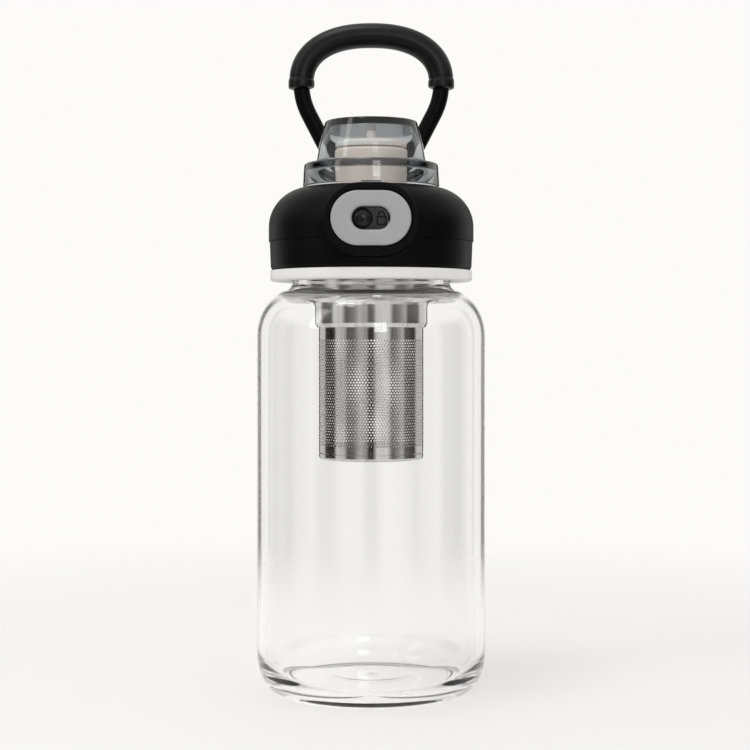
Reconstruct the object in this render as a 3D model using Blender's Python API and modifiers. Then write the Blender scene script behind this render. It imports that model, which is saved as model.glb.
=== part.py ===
"""A one-litre glass tea bottle: steel infuser in the neck, screw-on flip lid, carry handle.

Metres, +Z up. The origin is the centre of the base, and the button faces -Y.
"""

import math

import bmesh
import bpy
import numpy as np
from mathutils import Matrix, Vector

# Fits, used everywhere
seat_gap = 0.0003
overrun = 0.002
weld_distance = 0.00001
screw_merge = 0.00005

# Glass bottle
body_radius = 0.0475
body_wall = 0.0028
straight_top = 0.1465
shoulder_flare = 0.002
shoulder_rise = 0.0195
neck_height = 0.0255
neck_radius = 0.031
neck_wall = 0.0034
neck_bead = 0.0014
neck_bead_rise = 0.0051
heel_width = 0.008
heel_rise = 0.016
foot_width = 0.0035
punt_depth = 0.0012
base_thickness = 0.003
floor_crown = 0.0008
corner_width = 0.0117
corner_rise = 0.0135
lip_round = 0.0009
shoulder_end_angle = 74.0

# Screw thread between the neck and the lid
thread_pitch = 0.0045
thread_turns = 1.25
thread_depth = 0.0011
thread_root = 0.0016
thread_crest = 0.0008
thread_drop = 0.0084
thread_clearance = 0.0009
thread_root_sink = 0.0004

# Infuser
sheet = 0.0006
insert_clearance = 0.0007
insert_drop = 0.028
insert_flange_inset = 0.0004
collar_radius = 0.0235
collar_length = 0.0106
collar_step = 0.0014
cone_drop = 0.0025
sleeve_radius = 0.0218
sleeve_overlap = 0.006
perforated_top_drop = 0.0048
perforated_length = 0.044
bottom_band = 0.0058
base_lip = 0.0026
base_round = 0.0022
base_spigot = 0.0030
hole_columns = 20
hole_rows = 6
hole_bar = 0.0022

# Seals
infuser_seal_height = 0.0014
lid_seal_height = 0.0018
lid_seal_margin = 0.0012

# White inner cap
cap_wall = 0.0022
top_plate = 0.0022
rim_inset = 0.0006
rim_height = 0.0045
rim_round = 0.0012
rim_drop = 0.022
port_inset = 0.0005

# Black lid: lower band and upper shell
lid_side = 0.0073
band_foot_inset = 0.0013
band_side_inset = 0.0008
band_top_inset = 0.0004
band_chamfer = 0.0012
band_wall = 0.0023
band_ledge = 0.0024
seam_rise = 0.0119
lap_height = 0.0032
lap_wall = 0.0015
shell_wall = 0.0025
shoulder_knee_rise = 0.006
crown_width = 0.017
crown_rise = 0.0165
rib_outer_inset = 0.0005
rib_wall = 0.0017
rib_window_half = 0.016

# Drinking spout
spout_room = 0.0026
spout_rise = 0.0158
spout_round = 0.0022
spout_wall = 0.0035
spout_collar_width = 0.0025
spout_collar_height = 0.0026
spout_seal_height = 0.0015

# Flip cap
flange_setback = 0.0141
flange_taper = 0.0005
flange_height = 0.0107
flange_deck = 0.0027
cap_shell = 0.002
flange_ledge = 0.0058
dome_foot_taper = 0.0013
dome_top_taper = 0.0017
dome_waist_rise = 0.0157
cap_height = 0.0277
cap_deck = 0.0029
edge_round = 0.0006
boss_radius = 0.0055
pip_radius = 0.0025
pip_height = 0.0032
plug_taper = 0.0008
plug_depth = 0.001
plug_clearance = 0.001

# Hinge at the back of the lid
hinge_setback = 0.0036
hinge_rise = 0.0036
pin_radius = 0.0015
pin_clearance = 0.0003
pin_head_radius = 0.0023
pin_head_height = 0.0008
knuckle_radius = 0.003
knuckle_width = 0.0022
spring_bay_half = 0.0028
ear_radius = 0.0032
ear_width = 0.003
eyelet_radius = 0.0039
eyelet_width = 0.004
hinge_side_gap = 0.0004
spring_wire = 0.0006
spring_coils = 3
spring_leg_inset = 0.0006

# Carry handle
handle_half_width = 0.0303
handle_bar_radius = 0.0035
handle_arch_base = 0.0444
handle_arch_rise = 0.0207
handle_arch_power = 2.3
handle_bend_drop = 0.0071
handle_foot_x = 0.0131
handle_foot_rise = 0.0042
grip_radius = 0.00535
grip_end_flare_share = 1.07

# Latch button, its housing and the sliding lock
bezel_side = 0.00275
bezel_brow = 0.0037
bezel_depth = 0.012
bezel_round = 0.0012
bezel_drop = 0.0005
button_centre_drop = 0.0154
button_width = 0.0316
button_height = 0.0215
button_proud = 0.0009
button_face = 0.0025
button_wall = 0.0016
button_depth = 0.0048
button_round = 0.0008
button_lip = 0.0009
button_lip_depth = 0.001
button_travel = 0.0022
slot_room = 0.001
slot_flare = 0.0011
lobe_margin = 0.0022
housing_wall = 0.0016
lock_side_room = 0.00045
lock_plate_height = 0.01
lock_plate_depth = 0.0012
lock_travel = 0.0067
knob_radius = 0.00405
knob_stem = 0.0002
knob_inset = 0.0002
lock_post = 0.003
lock_post_x = 0.0097

# Latch slide and the hook on the cap
latch_half_width = 0.007
latch_leaf = 0.001
latch_arm = 0.0018
latch_arm_clearance = 0.0005
latch_step_rise = 0.003
latch_plate = 0.002
latch_step_length = 0.002
latch_bar = 0.0025
hook_half_width = 0.004
hook_inset = 0.0005
hook_thickness = 0.0018
hook_reach = 0.0022
hook_toe = 0.0023
hook_engagement = 0.0012
hook_gap = 0.0004
hook_swing_room = 0.001
push_spring_radius = 0.0014
push_spring_wire = 0.0004
push_spring_x = 0.005
push_spring_coils = 3

# Facets
body_facets = 40
cap_facets = 36
ring_facets = 32
small_facets = 24
tube_resolution = 4

# Heights that the pieces share
shoulder_top = straight_top + shoulder_rise
mouth_z = shoulder_top + neck_height
infuser_seal_foot = mouth_z + seat_gap
flange_foot = infuser_seal_foot + infuser_seal_height + seat_gap
lid_seal_foot = flange_foot + sheet + seat_gap
plate_foot = lid_seal_foot + lid_seal_height + seat_gap
plate_top = plate_foot + top_plate
rim_foot = mouth_z - rim_drop
rim_top = rim_foot + rim_height
seam_z = rim_top + seam_rise
knee_z = seam_z + shoulder_knee_rise
deck_top = knee_z + crown_rise
deck_foot = deck_top - shell_wall
cap_foot = deck_top + seat_gap
hinge_z = deck_top + hinge_rise
button_z = deck_top - button_centre_drop
bezel_z = button_z - bezel_drop

# Radii that the pieces share
neck_bore = neck_radius - neck_wall
insert_radius = neck_bore - insert_clearance
cap_bore = neck_radius + thread_depth + thread_clearance
sleeve_outer = cap_bore + cap_wall
shoulder_width = body_radius - neck_radius - shoulder_flare
lid_radius = sleeve_outer + lid_side
rim_radius = lid_radius - rim_inset
band_foot_radius = lid_radius - band_foot_inset
band_side_radius = lid_radius - band_side_inset
band_top_radius = lid_radius - band_top_inset
crown_radius = lid_radius - crown_width
flange_foot_radius = lid_radius - flange_setback
flange_top_radius = flange_foot_radius - flange_taper
dome_foot_radius = flange_foot_radius - flange_ledge
dome_waist_radius = dome_foot_radius - dome_foot_taper
dome_top_radius = dome_waist_radius - dome_top_taper
spout_radius = dome_top_radius - cap_shell - spout_room
spout_collar_radius = spout_radius + spout_collar_width
spout_bore = spout_radius - spout_wall
port_radius = spout_bore - port_inset
hinge_back = flange_foot_radius + hinge_setback
hinge_centre = Vector((0, hinge_back, hinge_z))

# Widths and heights of the button, its housing and the lock
bezel_width = button_width + 2 * bezel_side
bezel_height = button_height + 2 * bezel_brow
slot_width = 2 * knob_radius + lock_travel + seat_gap
slot_height = 2 * knob_radius + slot_room
lock_plate_width = button_width - 2 * button_wall - lock_travel - 2 * lock_side_room

# Depths along Y, from the cap's hook forwards to the button's face
hook_front_y = -flange_foot_radius + hook_inset
hook_back_y = hook_front_y + hook_thickness
toe_tip_y = hook_back_y + hook_reach
latch_window_front_y = hook_front_y - hook_swing_room - button_travel - seat_gap
latch_step_back_y = latch_window_front_y - latch_step_length
latch_step_front_y = latch_step_back_y - latch_step_length
housing_back_y = latch_step_front_y - seat_gap
housing_floor_y = housing_back_y - housing_wall
button_back_y = housing_floor_y - button_travel - 3 * seat_gap
button_front_y = button_back_y - button_depth
lip_front_y = button_back_y - button_lip_depth
face_back_y = button_front_y + button_face
lock_front_y = face_back_y + seat_gap
lock_back_y = lock_front_y + lock_plate_depth
leaf_front_y = lock_back_y + seat_gap
leaf_back_y = leaf_front_y + latch_leaf
bezel_front = -button_front_y - button_proud
bezel_back = bezel_front - bezel_depth


def clear_scene():
    for obj in list(bpy.data.objects):
        bpy.data.objects.remove(obj, do_unlink=True)


def new_collection(name):
    collection = bpy.data.collections.new(name)
    bpy.context.scene.collection.children.link(collection)
    return collection


clear_scene()
parts = new_collection("tea_infuser_bottle")
cutters = new_collection("cutters")


def finish(name, colour, roughness, metallic=0.0, clear=0.0):
    """A plain Principled finish; clear is the share of light let through."""
    material = bpy.data.materials.new(name)
    material.use_nodes = True
    shader = material.node_tree.nodes["Principled BSDF"]
    shader.inputs["Base Color"].default_value = (*colour, 1.0)
    shader.inputs["Roughness"].default_value = roughness
    shader.inputs["Metallic"].default_value = metallic
    shader.inputs["Transmission Weight"].default_value = clear
    material.diffuse_color = (*colour, 1.0 - clear / 2)
    return material


def add_object(name, data, material=None, helper=False):
    """Links a new object, as a part or as a hidden helper that other pieces are cut with."""
    obj = bpy.data.objects.new(name, data)
    (cutters if helper else parts).objects.link(obj)
    if helper:
        obj.hide_render = True
        obj.display_type = "WIRE"
    if material:
        data.materials.append(material)
    return obj


def evaluated_mesh(obj):
    """The object's mesh after its modifiers, with loose caps welded on and faces pointing out."""
    bpy.context.view_layer.update()
    graph = bpy.context.evaluated_depsgraph_get()
    mesh = bpy.data.meshes.new_from_object(obj.evaluated_get(graph), depsgraph=graph)
    mesh.transform(obj.matrix_world)
    bm = bmesh.new()
    bm.from_mesh(mesh)
    bmesh.ops.remove_doubles(bm, verts=bm.verts, dist=weld_distance)
    bmesh.ops.holes_fill(bm, edges=bm.edges)
    bmesh.ops.recalc_face_normals(bm, faces=bm.faces)
    bm.to_mesh(mesh)
    bm.free()
    return mesh


def baked(obj, material=None, helper=False):
    """Replaces a curve or a swept object by its finished mesh under the same name."""
    name = obj.name
    mesh = evaluated_mesh(obj)
    bpy.data.objects.remove(obj, do_unlink=True)
    mesh.shade_smooth()
    mesh.set_sharp_from_angle(angle=math.radians(40))
    return add_object(name, mesh, material, helper)


def boolean(obj, other, operation):
    modifier = obj.modifiers.new(other.name, "BOOLEAN")
    modifier.operation = operation
    modifier.solver = "EXACT"
    modifier.object = other


def carve(obj, *others):
    for other in others:
        boolean(obj, other, "DIFFERENCE")


def unite(obj, *others):
    for other in others:
        boolean(obj, other, "UNION")


def round_edges(obj, width, segments=2):
    bevel = obj.modifiers.new("rounded_edges", "BEVEL")
    bevel.width = width
    bevel.segments = segments
    bevel.limit_method = "ANGLE"
    bevel.angle_limit = math.radians(50)


def arc(centre_r, centre_z, width, rise, start, end, steps):
    """Points along an elliptical arc in the profile plane, between two angles in degrees."""
    angles = [math.radians(start + (end - start) * i / steps) for i in range(steps + 1)]
    return [(centre_r + width * math.cos(a), centre_z + rise * math.sin(a)) for a in angles]


def turned(name, profile, facets, material=None, closed=True, helper=False):
    """A profile of (radius, height) points, turned about Z. It runs down its outer side."""
    mesh = bpy.data.meshes.new(name)
    last = len(profile) - 1
    edges = [(i, i + 1) for i in range(last)] + ([(last, 0)] if closed else [])
    mesh.from_pydata([(r, 0, z) for r, z in profile], edges, [])
    obj = add_object(name, mesh, material, helper)
    screw = obj.modifiers.new("turn", "SCREW")
    screw.steps = facets
    screw.render_steps = facets
    screw.use_merge_vertices = True
    screw.merge_threshold = screw_merge
    screw.use_smooth_shade = True
    return obj


def ring(name, inner, outer, foot, top, facets, material=None, helper=False):
    profile = [(outer, top), (outer, foot), (inner, foot), (inner, top)]
    return turned(name, profile, facets, material, helper=helper)


def helical_ridge(name, profile):
    """A closed profile swept up the thread's right-hand helix, with both ends filled."""
    steps = round(body_facets * thread_turns)
    obj = turned(name, profile, steps, helper=True)
    screw = obj.modifiers["turn"]
    screw.use_merge_vertices = False
    screw.angle = 2 * math.pi * thread_turns
    screw.screw_offset = thread_pitch * thread_turns
    return baked(obj, helper=True)


def block(name, low, high, material=None, helper=True):
    """A box between two opposite corners."""
    low, high = Vector(low), Vector(high)
    mesh = bpy.data.meshes.new(name)
    bm = bmesh.new()
    size = Matrix.Diagonal((*(high - low), 1))
    bmesh.ops.create_cube(bm, size=1, matrix=Matrix.Translation((low + high) / 2) @ size)
    bm.to_mesh(mesh)
    bm.free()
    return add_object(name, mesh, material, helper)


def rod_along_x(name, radius, start, end, centre, facets=small_facets):
    """A cylinder along X, used as a cutter or joined to a piece."""
    mesh = bpy.data.meshes.new(name)
    bm = bmesh.new()
    place = Matrix.Translation((centre[0] + (start + end) / 2, centre[1], centre[2]))
    turn = Matrix.Rotation(math.pi / 2, 4, "Y")
    bmesh.ops.create_cone(
        bm,
        cap_ends=True,
        segments=facets,
        radius1=radius,
        radius2=radius,
        depth=end - start,
        matrix=place @ turn,
    )
    bm.to_mesh(mesh)
    bm.free()
    return add_object(name, mesh, helper=True)


def stadium(width, height, steps=8):
    """The outline of a slot with round ends, anticlockwise."""
    radius = height / 2
    straight = width / 2 - radius
    points = []
    for side in (1, -1):
        for i in range(steps + 1):
            angle = -math.pi / 2 + math.pi * i / steps
            across = straight + radius * math.cos(angle)
            points.append((side * across, side * radius * math.sin(angle)))
    return points


def extruded(name, outline, thickness, place, material=None, helper=True):
    """A flat outline made solid, and set in its place by a matrix."""
    curve = bpy.data.curves.new(name, "CURVE")
    curve.dimensions = "2D"
    curve.fill_mode = "BOTH"
    curve.extrude = thickness / 2
    spline = curve.splines.new("POLY")
    spline.points.add(len(outline) - 1)
    for point, (x, y) in zip(spline.points, outline):
        point.co = (x, y, 0, 1)
    spline.use_cyclic_u = True
    obj = add_object(name, curve, helper=True)
    obj.matrix_world = place
    return baked(obj, material, helper)


def along_y(outline, near, far, centre_z, name, material=None, helper=True, centre_x=0):
    """An outline in X and Z, extruded between two depths along Y."""
    place = Matrix.Translation((centre_x, (near + far) / 2, centre_z))
    turn = Matrix.Rotation(math.pi / 2, 4, "X")
    return extruded(name, outline, far - near, place @ turn, material, helper)


def along_x(outline, near, far, name, material=None, helper=True):
    """An outline in Y and Z, extruded between two places along X."""
    turn = Matrix(((0, 0, 1, (near + far) / 2), (1, 0, 0, 0), (0, 1, 0, 0), (0, 0, 0, 1)))
    return extruded(name, outline, far - near, turn, material, helper)


def on_both_sides(outline, near, far, name):
    """The same extrusion at +X and at -X."""
    return [
        along_x(outline, near, far, name + "_right"),
        along_x(outline, -far, -near, name + "_left"),
    ]


def tube(name, points, radius, resolution, scales=None, capped=True):
    """A round bar along a list of points."""
    curve = bpy.data.curves.new(name, "CURVE")
    curve.dimensions = "3D"
    curve.bevel_depth = radius
    curve.bevel_resolution = resolution
    curve.use_fill_caps = capped
    spline = curve.splines.new("POLY")
    spline.points.add(len(points) - 1)
    for index, (point, place) in enumerate(zip(spline.points, points)):
        point.co = (*place, 1)
        point.radius = scales[index] if scales else 1.0
    return add_object(name, curve, helper=True)


def least_gap(points, wire, curl_points):
    """The smallest space between a wire and its own neighbouring curls."""
    places = np.array(points)
    apart = np.linalg.norm(places[:, None] - places[None], axis=2)
    steps = np.abs(np.subtract.outer(np.arange(len(places)), np.arange(len(places))))
    return apart[steps > curl_points / 2].min() - wire


def make_glass():
    """Bottle body with a round heel and shoulder, a shallow punt and a threaded neck."""
    inner_radius = body_radius - body_wall
    shoulder_r = body_radius - shoulder_width
    inner_width = shoulder_width - body_wall
    inner_rise = shoulder_rise - body_wall
    end = math.radians(shoulder_end_angle)
    outer_end = (
        shoulder_r + shoulder_width * math.cos(end),
        straight_top + shoulder_rise * math.sin(end),
    )
    inner_end = (
        shoulder_r + inner_width * math.cos(end),
        straight_top + inner_rise * math.sin(end),
    )
    bead_radius = neck_radius + neck_bead
    bead_z = outer_end[1] + neck_bead_rise
    heel_r = body_radius - heel_width
    foot_inner = heel_r - foot_width
    profile = [(0, base_thickness + floor_crown)]
    profile += arc(
        inner_radius - corner_width,
        base_thickness + corner_rise,
        corner_width,
        corner_rise,
        -90,
        0,
        3,
    )
    profile += arc(shoulder_r, straight_top, inner_width, inner_rise, 0, shoulder_end_angle, 4)
    profile += arc(
        inner_end[0],
        inner_end[1] + neck_bead_rise,
        inner_end[0] - neck_bore,
        neck_bead_rise,
        -90,
        -180,
        2,
    )[1:]
    profile += [(neck_bore, mouth_z), (neck_radius - lip_round, mouth_z)]
    profile += [(neck_radius, mouth_z - lip_round), (neck_radius, bead_z + neck_bead)]
    profile += arc(
        outer_end[0], bead_z, outer_end[0] - bead_radius, neck_bead_rise, -180, -90, 2
    )[:-1]
    profile += arc(shoulder_r, straight_top, shoulder_width, shoulder_rise, shoulder_end_angle, 0, 6)
    profile += arc(heel_r, heel_rise, heel_width, heel_rise, 0, -90, 5)
    profile += [(foot_inner, 0), (foot_inner - punt_depth, punt_depth / 2), (0, punt_depth)]
    glass = finish("clear_glass", (0.93, 0.96, 0.96), 0.02, clear=1.0)
    bottle = turned("glass_bottle", profile, body_facets, glass, closed=False)
    ridge_z = mouth_z - thread_drop - thread_pitch * thread_turns
    ridge = helical_ridge(
        "neck_thread",
        [
            (neck_radius + thread_depth, ridge_z + thread_crest / 2),
            (neck_radius + thread_depth, ridge_z - thread_crest / 2),
            (neck_radius - thread_root_sink, ridge_z - thread_root / 2),
            (neck_radius - thread_root_sink, ridge_z + thread_root / 2),
        ],
    )
    unite(bottle, ridge)
    return ridge_z


def make_infuser(steel):
    """Neck insert with its flange, perforated sleeve and bottom cup, all of thin steel sheet."""
    insert_foot = mouth_z - insert_drop
    collar_top = insert_foot - cone_drop
    collar_foot = collar_top - collar_length
    lip_radius = sleeve_radius + seat_gap
    flange_top = flange_foot + sheet
    profile = [
        (neck_radius - insert_flange_inset, flange_top),
        (neck_radius - insert_flange_inset, flange_foot),
        (insert_radius, flange_foot),
        (insert_radius, insert_foot),
        (collar_radius + sheet, collar_top + sheet),
        (collar_radius, collar_top - sheet),
        (collar_radius, collar_foot + collar_step),
        (collar_radius - sheet, collar_foot + sheet / 2),
        (lip_radius + sheet, collar_foot),
        (lip_radius, collar_foot),
        (lip_radius, collar_foot + collar_step),
        (collar_radius - sheet, collar_foot + 2 * collar_step),
        (collar_radius - sheet, collar_top),
        (insert_radius - sheet, insert_foot + sheet),
        (insert_radius - sheet, flange_top),
    ]
    turned("infuser_collar", profile, ring_facets, steel)

    holes_top = collar_foot - perforated_top_drop
    holes_foot = holes_top - perforated_length
    sleeve_foot = holes_foot - bottom_band + base_lip + seat_gap
    make_sleeve(collar_foot + sleeve_overlap, holes_top, holes_foot, sleeve_foot, steel)

    cup_foot = holes_foot - bottom_band
    cup_top = cup_foot + base_lip
    step_radius = sleeve_radius * math.cos(math.pi / (2 * hole_columns)) - sheet - seat_gap
    spigot_top = cup_top + base_spigot
    profile = [
        (0, cup_foot + sheet),
        (sleeve_radius - base_round, cup_foot + sheet),
        (step_radius - sheet, cup_foot + base_round),
        (step_radius - sheet, spigot_top),
        (step_radius, spigot_top),
        (step_radius, cup_top),
        (sleeve_radius, cup_top),
    ]
    round_z = cup_foot + base_round
    profile += arc(sleeve_radius - base_round, round_z, base_round, base_round, 0, -90, 3)
    profile.append((0, cup_foot))
    turned("infuser_base", profile, ring_facets, steel, closed=False)


def make_sleeve(top, holes_top, holes_foot, foot, steel):
    """A tube of sheet with staggered rows of holes between two plain bands."""
    step = 2 * math.pi / hole_columns
    levels = hole_rows + 1
    bm = bmesh.new()

    def row(height, shift):
        places = []
        for column in range(hole_columns):
            angle = (column + shift) * step
            across = (sleeve_radius * math.cos(angle), sleeve_radius * math.sin(angle), height)
            places.append(bm.verts.new(across))
        return places

    rows = []
    for level in range(levels + 1):
        height = holes_foot + (holes_top - holes_foot) * level / levels
        rows.append(row(height, level % 2 / 2))
    cells = []
    for level in range(1, levels):
        below, middle, above = rows[level - 1], rows[level], rows[level + 1]
        for column in range(hole_columns):
            side = column - 1 + level % 2
            corners = (middle[column], above[side], middle[column - 1], below[side])
            cells.append(bm.faces.new(corners))
    for column in range(hole_columns):
        after = (column + 1) % hole_columns
        bm.faces.new((rows[0][column], rows[0][after], rows[1][column]))
        if levels % 2 == 0:
            bm.faces.new((rows[-1][after], rows[-1][column], rows[-2][column]))
        else:
            bm.faces.new((rows[-1][column], rows[-1][column - 1], rows[-2][column]))
    low = row(foot, 0)
    high = row(top, levels % 2 / 2)
    for column in range(hole_columns):
        after = (column + 1) % hole_columns
        bm.faces.new((low[column], low[after], rows[0][after], rows[0][column]))
        bm.faces.new((rows[-1][column], rows[-1][after], high[after], high[column]))
    bmesh.ops.recalc_face_normals(bm, faces=bm.faces)
    bmesh.ops.inset_individual(bm, faces=cells, thickness=hole_bar / 2, use_even_offset=True)
    bmesh.ops.delete(bm, geom=cells, context="FACES")
    mesh = bpy.data.meshes.new("infuser_sleeve")
    bm.to_mesh(mesh)
    bm.free()
    sleeve = add_object("infuser_sleeve", mesh, steel)
    wall = sleeve.modifiers.new("sheet", "SOLIDIFY")
    wall.thickness = sheet
    wall.offset = -1


def make_seals(silicone):
    """The flat rings that close the mouth, one under and one over the infuser's flange."""
    infuser_seal_top = infuser_seal_foot + infuser_seal_height
    lid_seal_top = lid_seal_foot + lid_seal_height
    ring(
        "infuser_gasket",
        insert_radius + seat_gap,
        neck_radius - insert_flange_inset,
        infuser_seal_foot,
        infuser_seal_top,
        ring_facets,
        silicone,
    )
    ring(
        "lid_gasket",
        insert_radius,
        cap_bore - lid_seal_margin,
        lid_seal_foot,
        lid_seal_top,
        ring_facets,
        silicone,
    )


def make_inner_cap(ridge_z):
    """White threaded cap with a wide rim, closed by a plate with the drinking port in it."""
    white = finish("white_plastic", (0.85, 0.83, 0.8), 0.4)
    profile = [
        (sleeve_outer, plate_top),
        (sleeve_outer, rim_top),
        (rim_radius, rim_top),
        (rim_radius, rim_foot + rim_round),
        (rim_radius - rim_round, rim_foot),
        (cap_bore, rim_foot),
        (cap_bore, plate_foot),
        (port_radius, plate_foot),
        (port_radius, plate_top),
    ]
    cap = turned("inner_cap", profile, body_facets, white)
    inner_z = ridge_z - thread_root - seat_gap
    crest_radius = neck_radius + thread_clearance / 2
    ridge = helical_ridge(
        "cap_thread",
        [
            (cap_bore + thread_root_sink, inner_z + thread_root / 2),
            (cap_bore + thread_root_sink, inner_z - thread_root / 2),
            (crest_radius, inner_z - thread_crest / 2),
            (crest_radius, inner_z + thread_crest / 2),
        ],
    )
    unite(cap, ridge)


def bezel_outline(margin):
    return stadium(bezel_width + 2 * margin, bezel_height + 2 * margin, 10)


def make_band(black):
    """Lower black band. It sits on the white rim and stops at the seam."""
    foot = rim_top + seat_gap
    top = seam_z - seat_gap
    inner = band_top_radius - band_wall
    profile = [
        (band_top_radius, top),
        (band_side_radius, foot + band_chamfer),
        (band_foot_radius, foot),
        (sleeve_outer + seat_gap, foot),
        (sleeve_outer + seat_gap, foot + band_ledge),
        (inner, foot + band_ledge),
        (inner, top),
    ]
    band = turned("lid_band", profile, body_facets, black)
    notch = along_y(
        bezel_outline(lobe_margin + seat_gap),
        -lid_radius - overrun,
        -cap_bore,
        bezel_z,
        "band_notch",
    )
    carve(band, notch)
    return inner


def make_shell(band_inner, black):
    """Upper black shell: domed crown, lap lip, deck, hinge ears, and the lobe round the button."""
    hole = spout_radius + seat_gap
    lap_outer = band_inner - seat_gap
    inner = lid_radius - shell_wall
    profile = [(hole, deck_top)]
    profile += arc(crown_radius, knee_z, lid_radius - crown_radius, crown_rise, 90, 0, 7)
    profile += [
        (lid_radius, seam_z),
        (lap_outer, seam_z),
        (lap_outer, seam_z - lap_height),
        (lap_outer - lap_wall, seam_z - lap_height),
        (lap_outer - lap_wall, seam_z + shell_wall / 2),
        (inner, seam_z + shell_wall),
    ]
    crown_inner_rise = crown_rise - shell_wall
    profile += arc(crown_radius, knee_z, inner - crown_radius, crown_inner_rise, 0, 90, 4)
    profile += [(hole, deck_foot)]
    shell = turned("lid_shell", profile, body_facets, black)

    lobe = ring(
        "shell_lobe",
        inner,
        band_top_radius,
        bezel_z - bezel_height,
        seam_z + shell_wall / 2,
        body_facets,
        helper=True,
    )
    lobe_limit = along_y(
        bezel_outline(lobe_margin),
        -lid_radius - overrun,
        -cap_bore,
        bezel_z,
        "lobe_limit",
    )
    boolean(lobe, lobe_limit, "INTERSECT")

    rib_outer = sleeve_outer - rib_outer_inset
    rib_inner = rib_outer - rib_wall
    lean = (rib_inner - crown_radius) / (inner - crown_radius)
    rib = ring(
        "shell_rib",
        rib_inner,
        rib_outer,
        plate_top + seat_gap,
        knee_z + crown_inner_rise * math.sqrt(1 - lean * lean) + shell_wall / 3,
        body_facets,
        helper=True,
    )
    rib_window = block(
        "rib_window",
        (-rib_window_half, -sleeve_outer - overrun, plate_top),
        (rib_window_half, 0, deck_top),
    )
    carve(rib, rib_window)

    unite(shell, lobe, rib, make_hinge_base(), *make_ears())
    opening = along_y(
        bezel_outline(seat_gap),
        -bezel_front - overrun,
        -bezel_back + seat_gap,
        bezel_z,
        "bezel_opening",
    )
    hook_slot = block(
        "hook_slot",
        (
            -hook_half_width - seat_gap,
            hook_front_y - hook_swing_room - seat_gap,
            deck_foot - overrun,
        ),
        (hook_half_width + seat_gap, toe_tip_y + seat_gap, deck_top + overrun),
    )
    latch_room = block(
        "latch_room",
        (-latch_half_width - seat_gap, -sleeve_outer, plate_top + seat_gap),
        (
            latch_half_width + seat_gap,
            hook_front_y,
            latch_plate_foot() + latch_plate + seat_gap,
        ),
    )
    carve(shell, opening, hook_slot, latch_room, pin_bore("ear_bore"))


def hinge_stations():
    """The places along X where the knuckles, ears and eyelets start and end, on the +X side."""
    knuckle_end = spring_bay_half + knuckle_width
    ear_start = knuckle_end + hinge_side_gap
    ear_end = ear_start + ear_width
    eyelet_start = ear_end + hinge_side_gap
    return knuckle_end, ear_start, ear_end, eyelet_start, eyelet_start + eyelet_width


def pin_bore(name):
    reach = hinge_stations()[-1] + overrun
    return rod_along_x(name, pin_radius + pin_clearance, -reach, reach, hinge_centre)


def make_hinge_base():
    """The low block under the hinge, behind the flip cap."""
    ear_end = hinge_stations()[2]
    top = hinge_z - knuckle_radius - seat_gap
    front = flange_foot_radius + seat_gap
    back = hinge_back + ear_radius
    return block(
        "hinge_base",
        (-ear_end, front, knee_z + crown_rise / 2),
        (ear_end, back, top),
    )


def make_ears():
    """Two upright ears that hold the pin."""
    ear_start, ear_end = hinge_stations()[1:3]
    top = arc(hinge_back, hinge_z, ear_radius, ear_radius, 0, 180, 8)
    foot = deck_foot
    outline = top + [(hinge_back - ear_radius, foot), (hinge_back + ear_radius, foot)]
    return on_both_sides(outline, ear_start, ear_end, "ear")


def make_spout():
    """Mouthpiece that stands through the deck, with its collar under it and a ring seal below."""
    cream = finish("cream_plastic", (0.8, 0.74, 0.68), 0.35)
    top = deck_top + spout_rise
    seal_foot = plate_top + seat_gap
    foot = seal_foot + spout_seal_height + seat_gap
    collar_top = deck_foot - seat_gap
    profile = [(spout_bore, top)]
    profile += arc(spout_radius - spout_round, top - spout_round, spout_round, spout_round, 90, 0, 3)
    profile += [
        (spout_radius, collar_top),
        (spout_collar_radius, collar_top),
        (spout_collar_radius, collar_top - spout_collar_height),
        (spout_radius, collar_top - spout_collar_height),
        (spout_radius, foot),
        (spout_bore, foot),
    ]
    turned("spout", profile, ring_facets, cream)
    seal = finish("seal_silicone", (0.75, 0.74, 0.72), 0.55)
    inner = spout_bore + seat_gap
    outer = spout_radius - seat_gap
    ring("spout_seal", inner, outer, seal_foot, seal_foot + spout_seal_height, small_facets, seal)
    return seal


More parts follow.
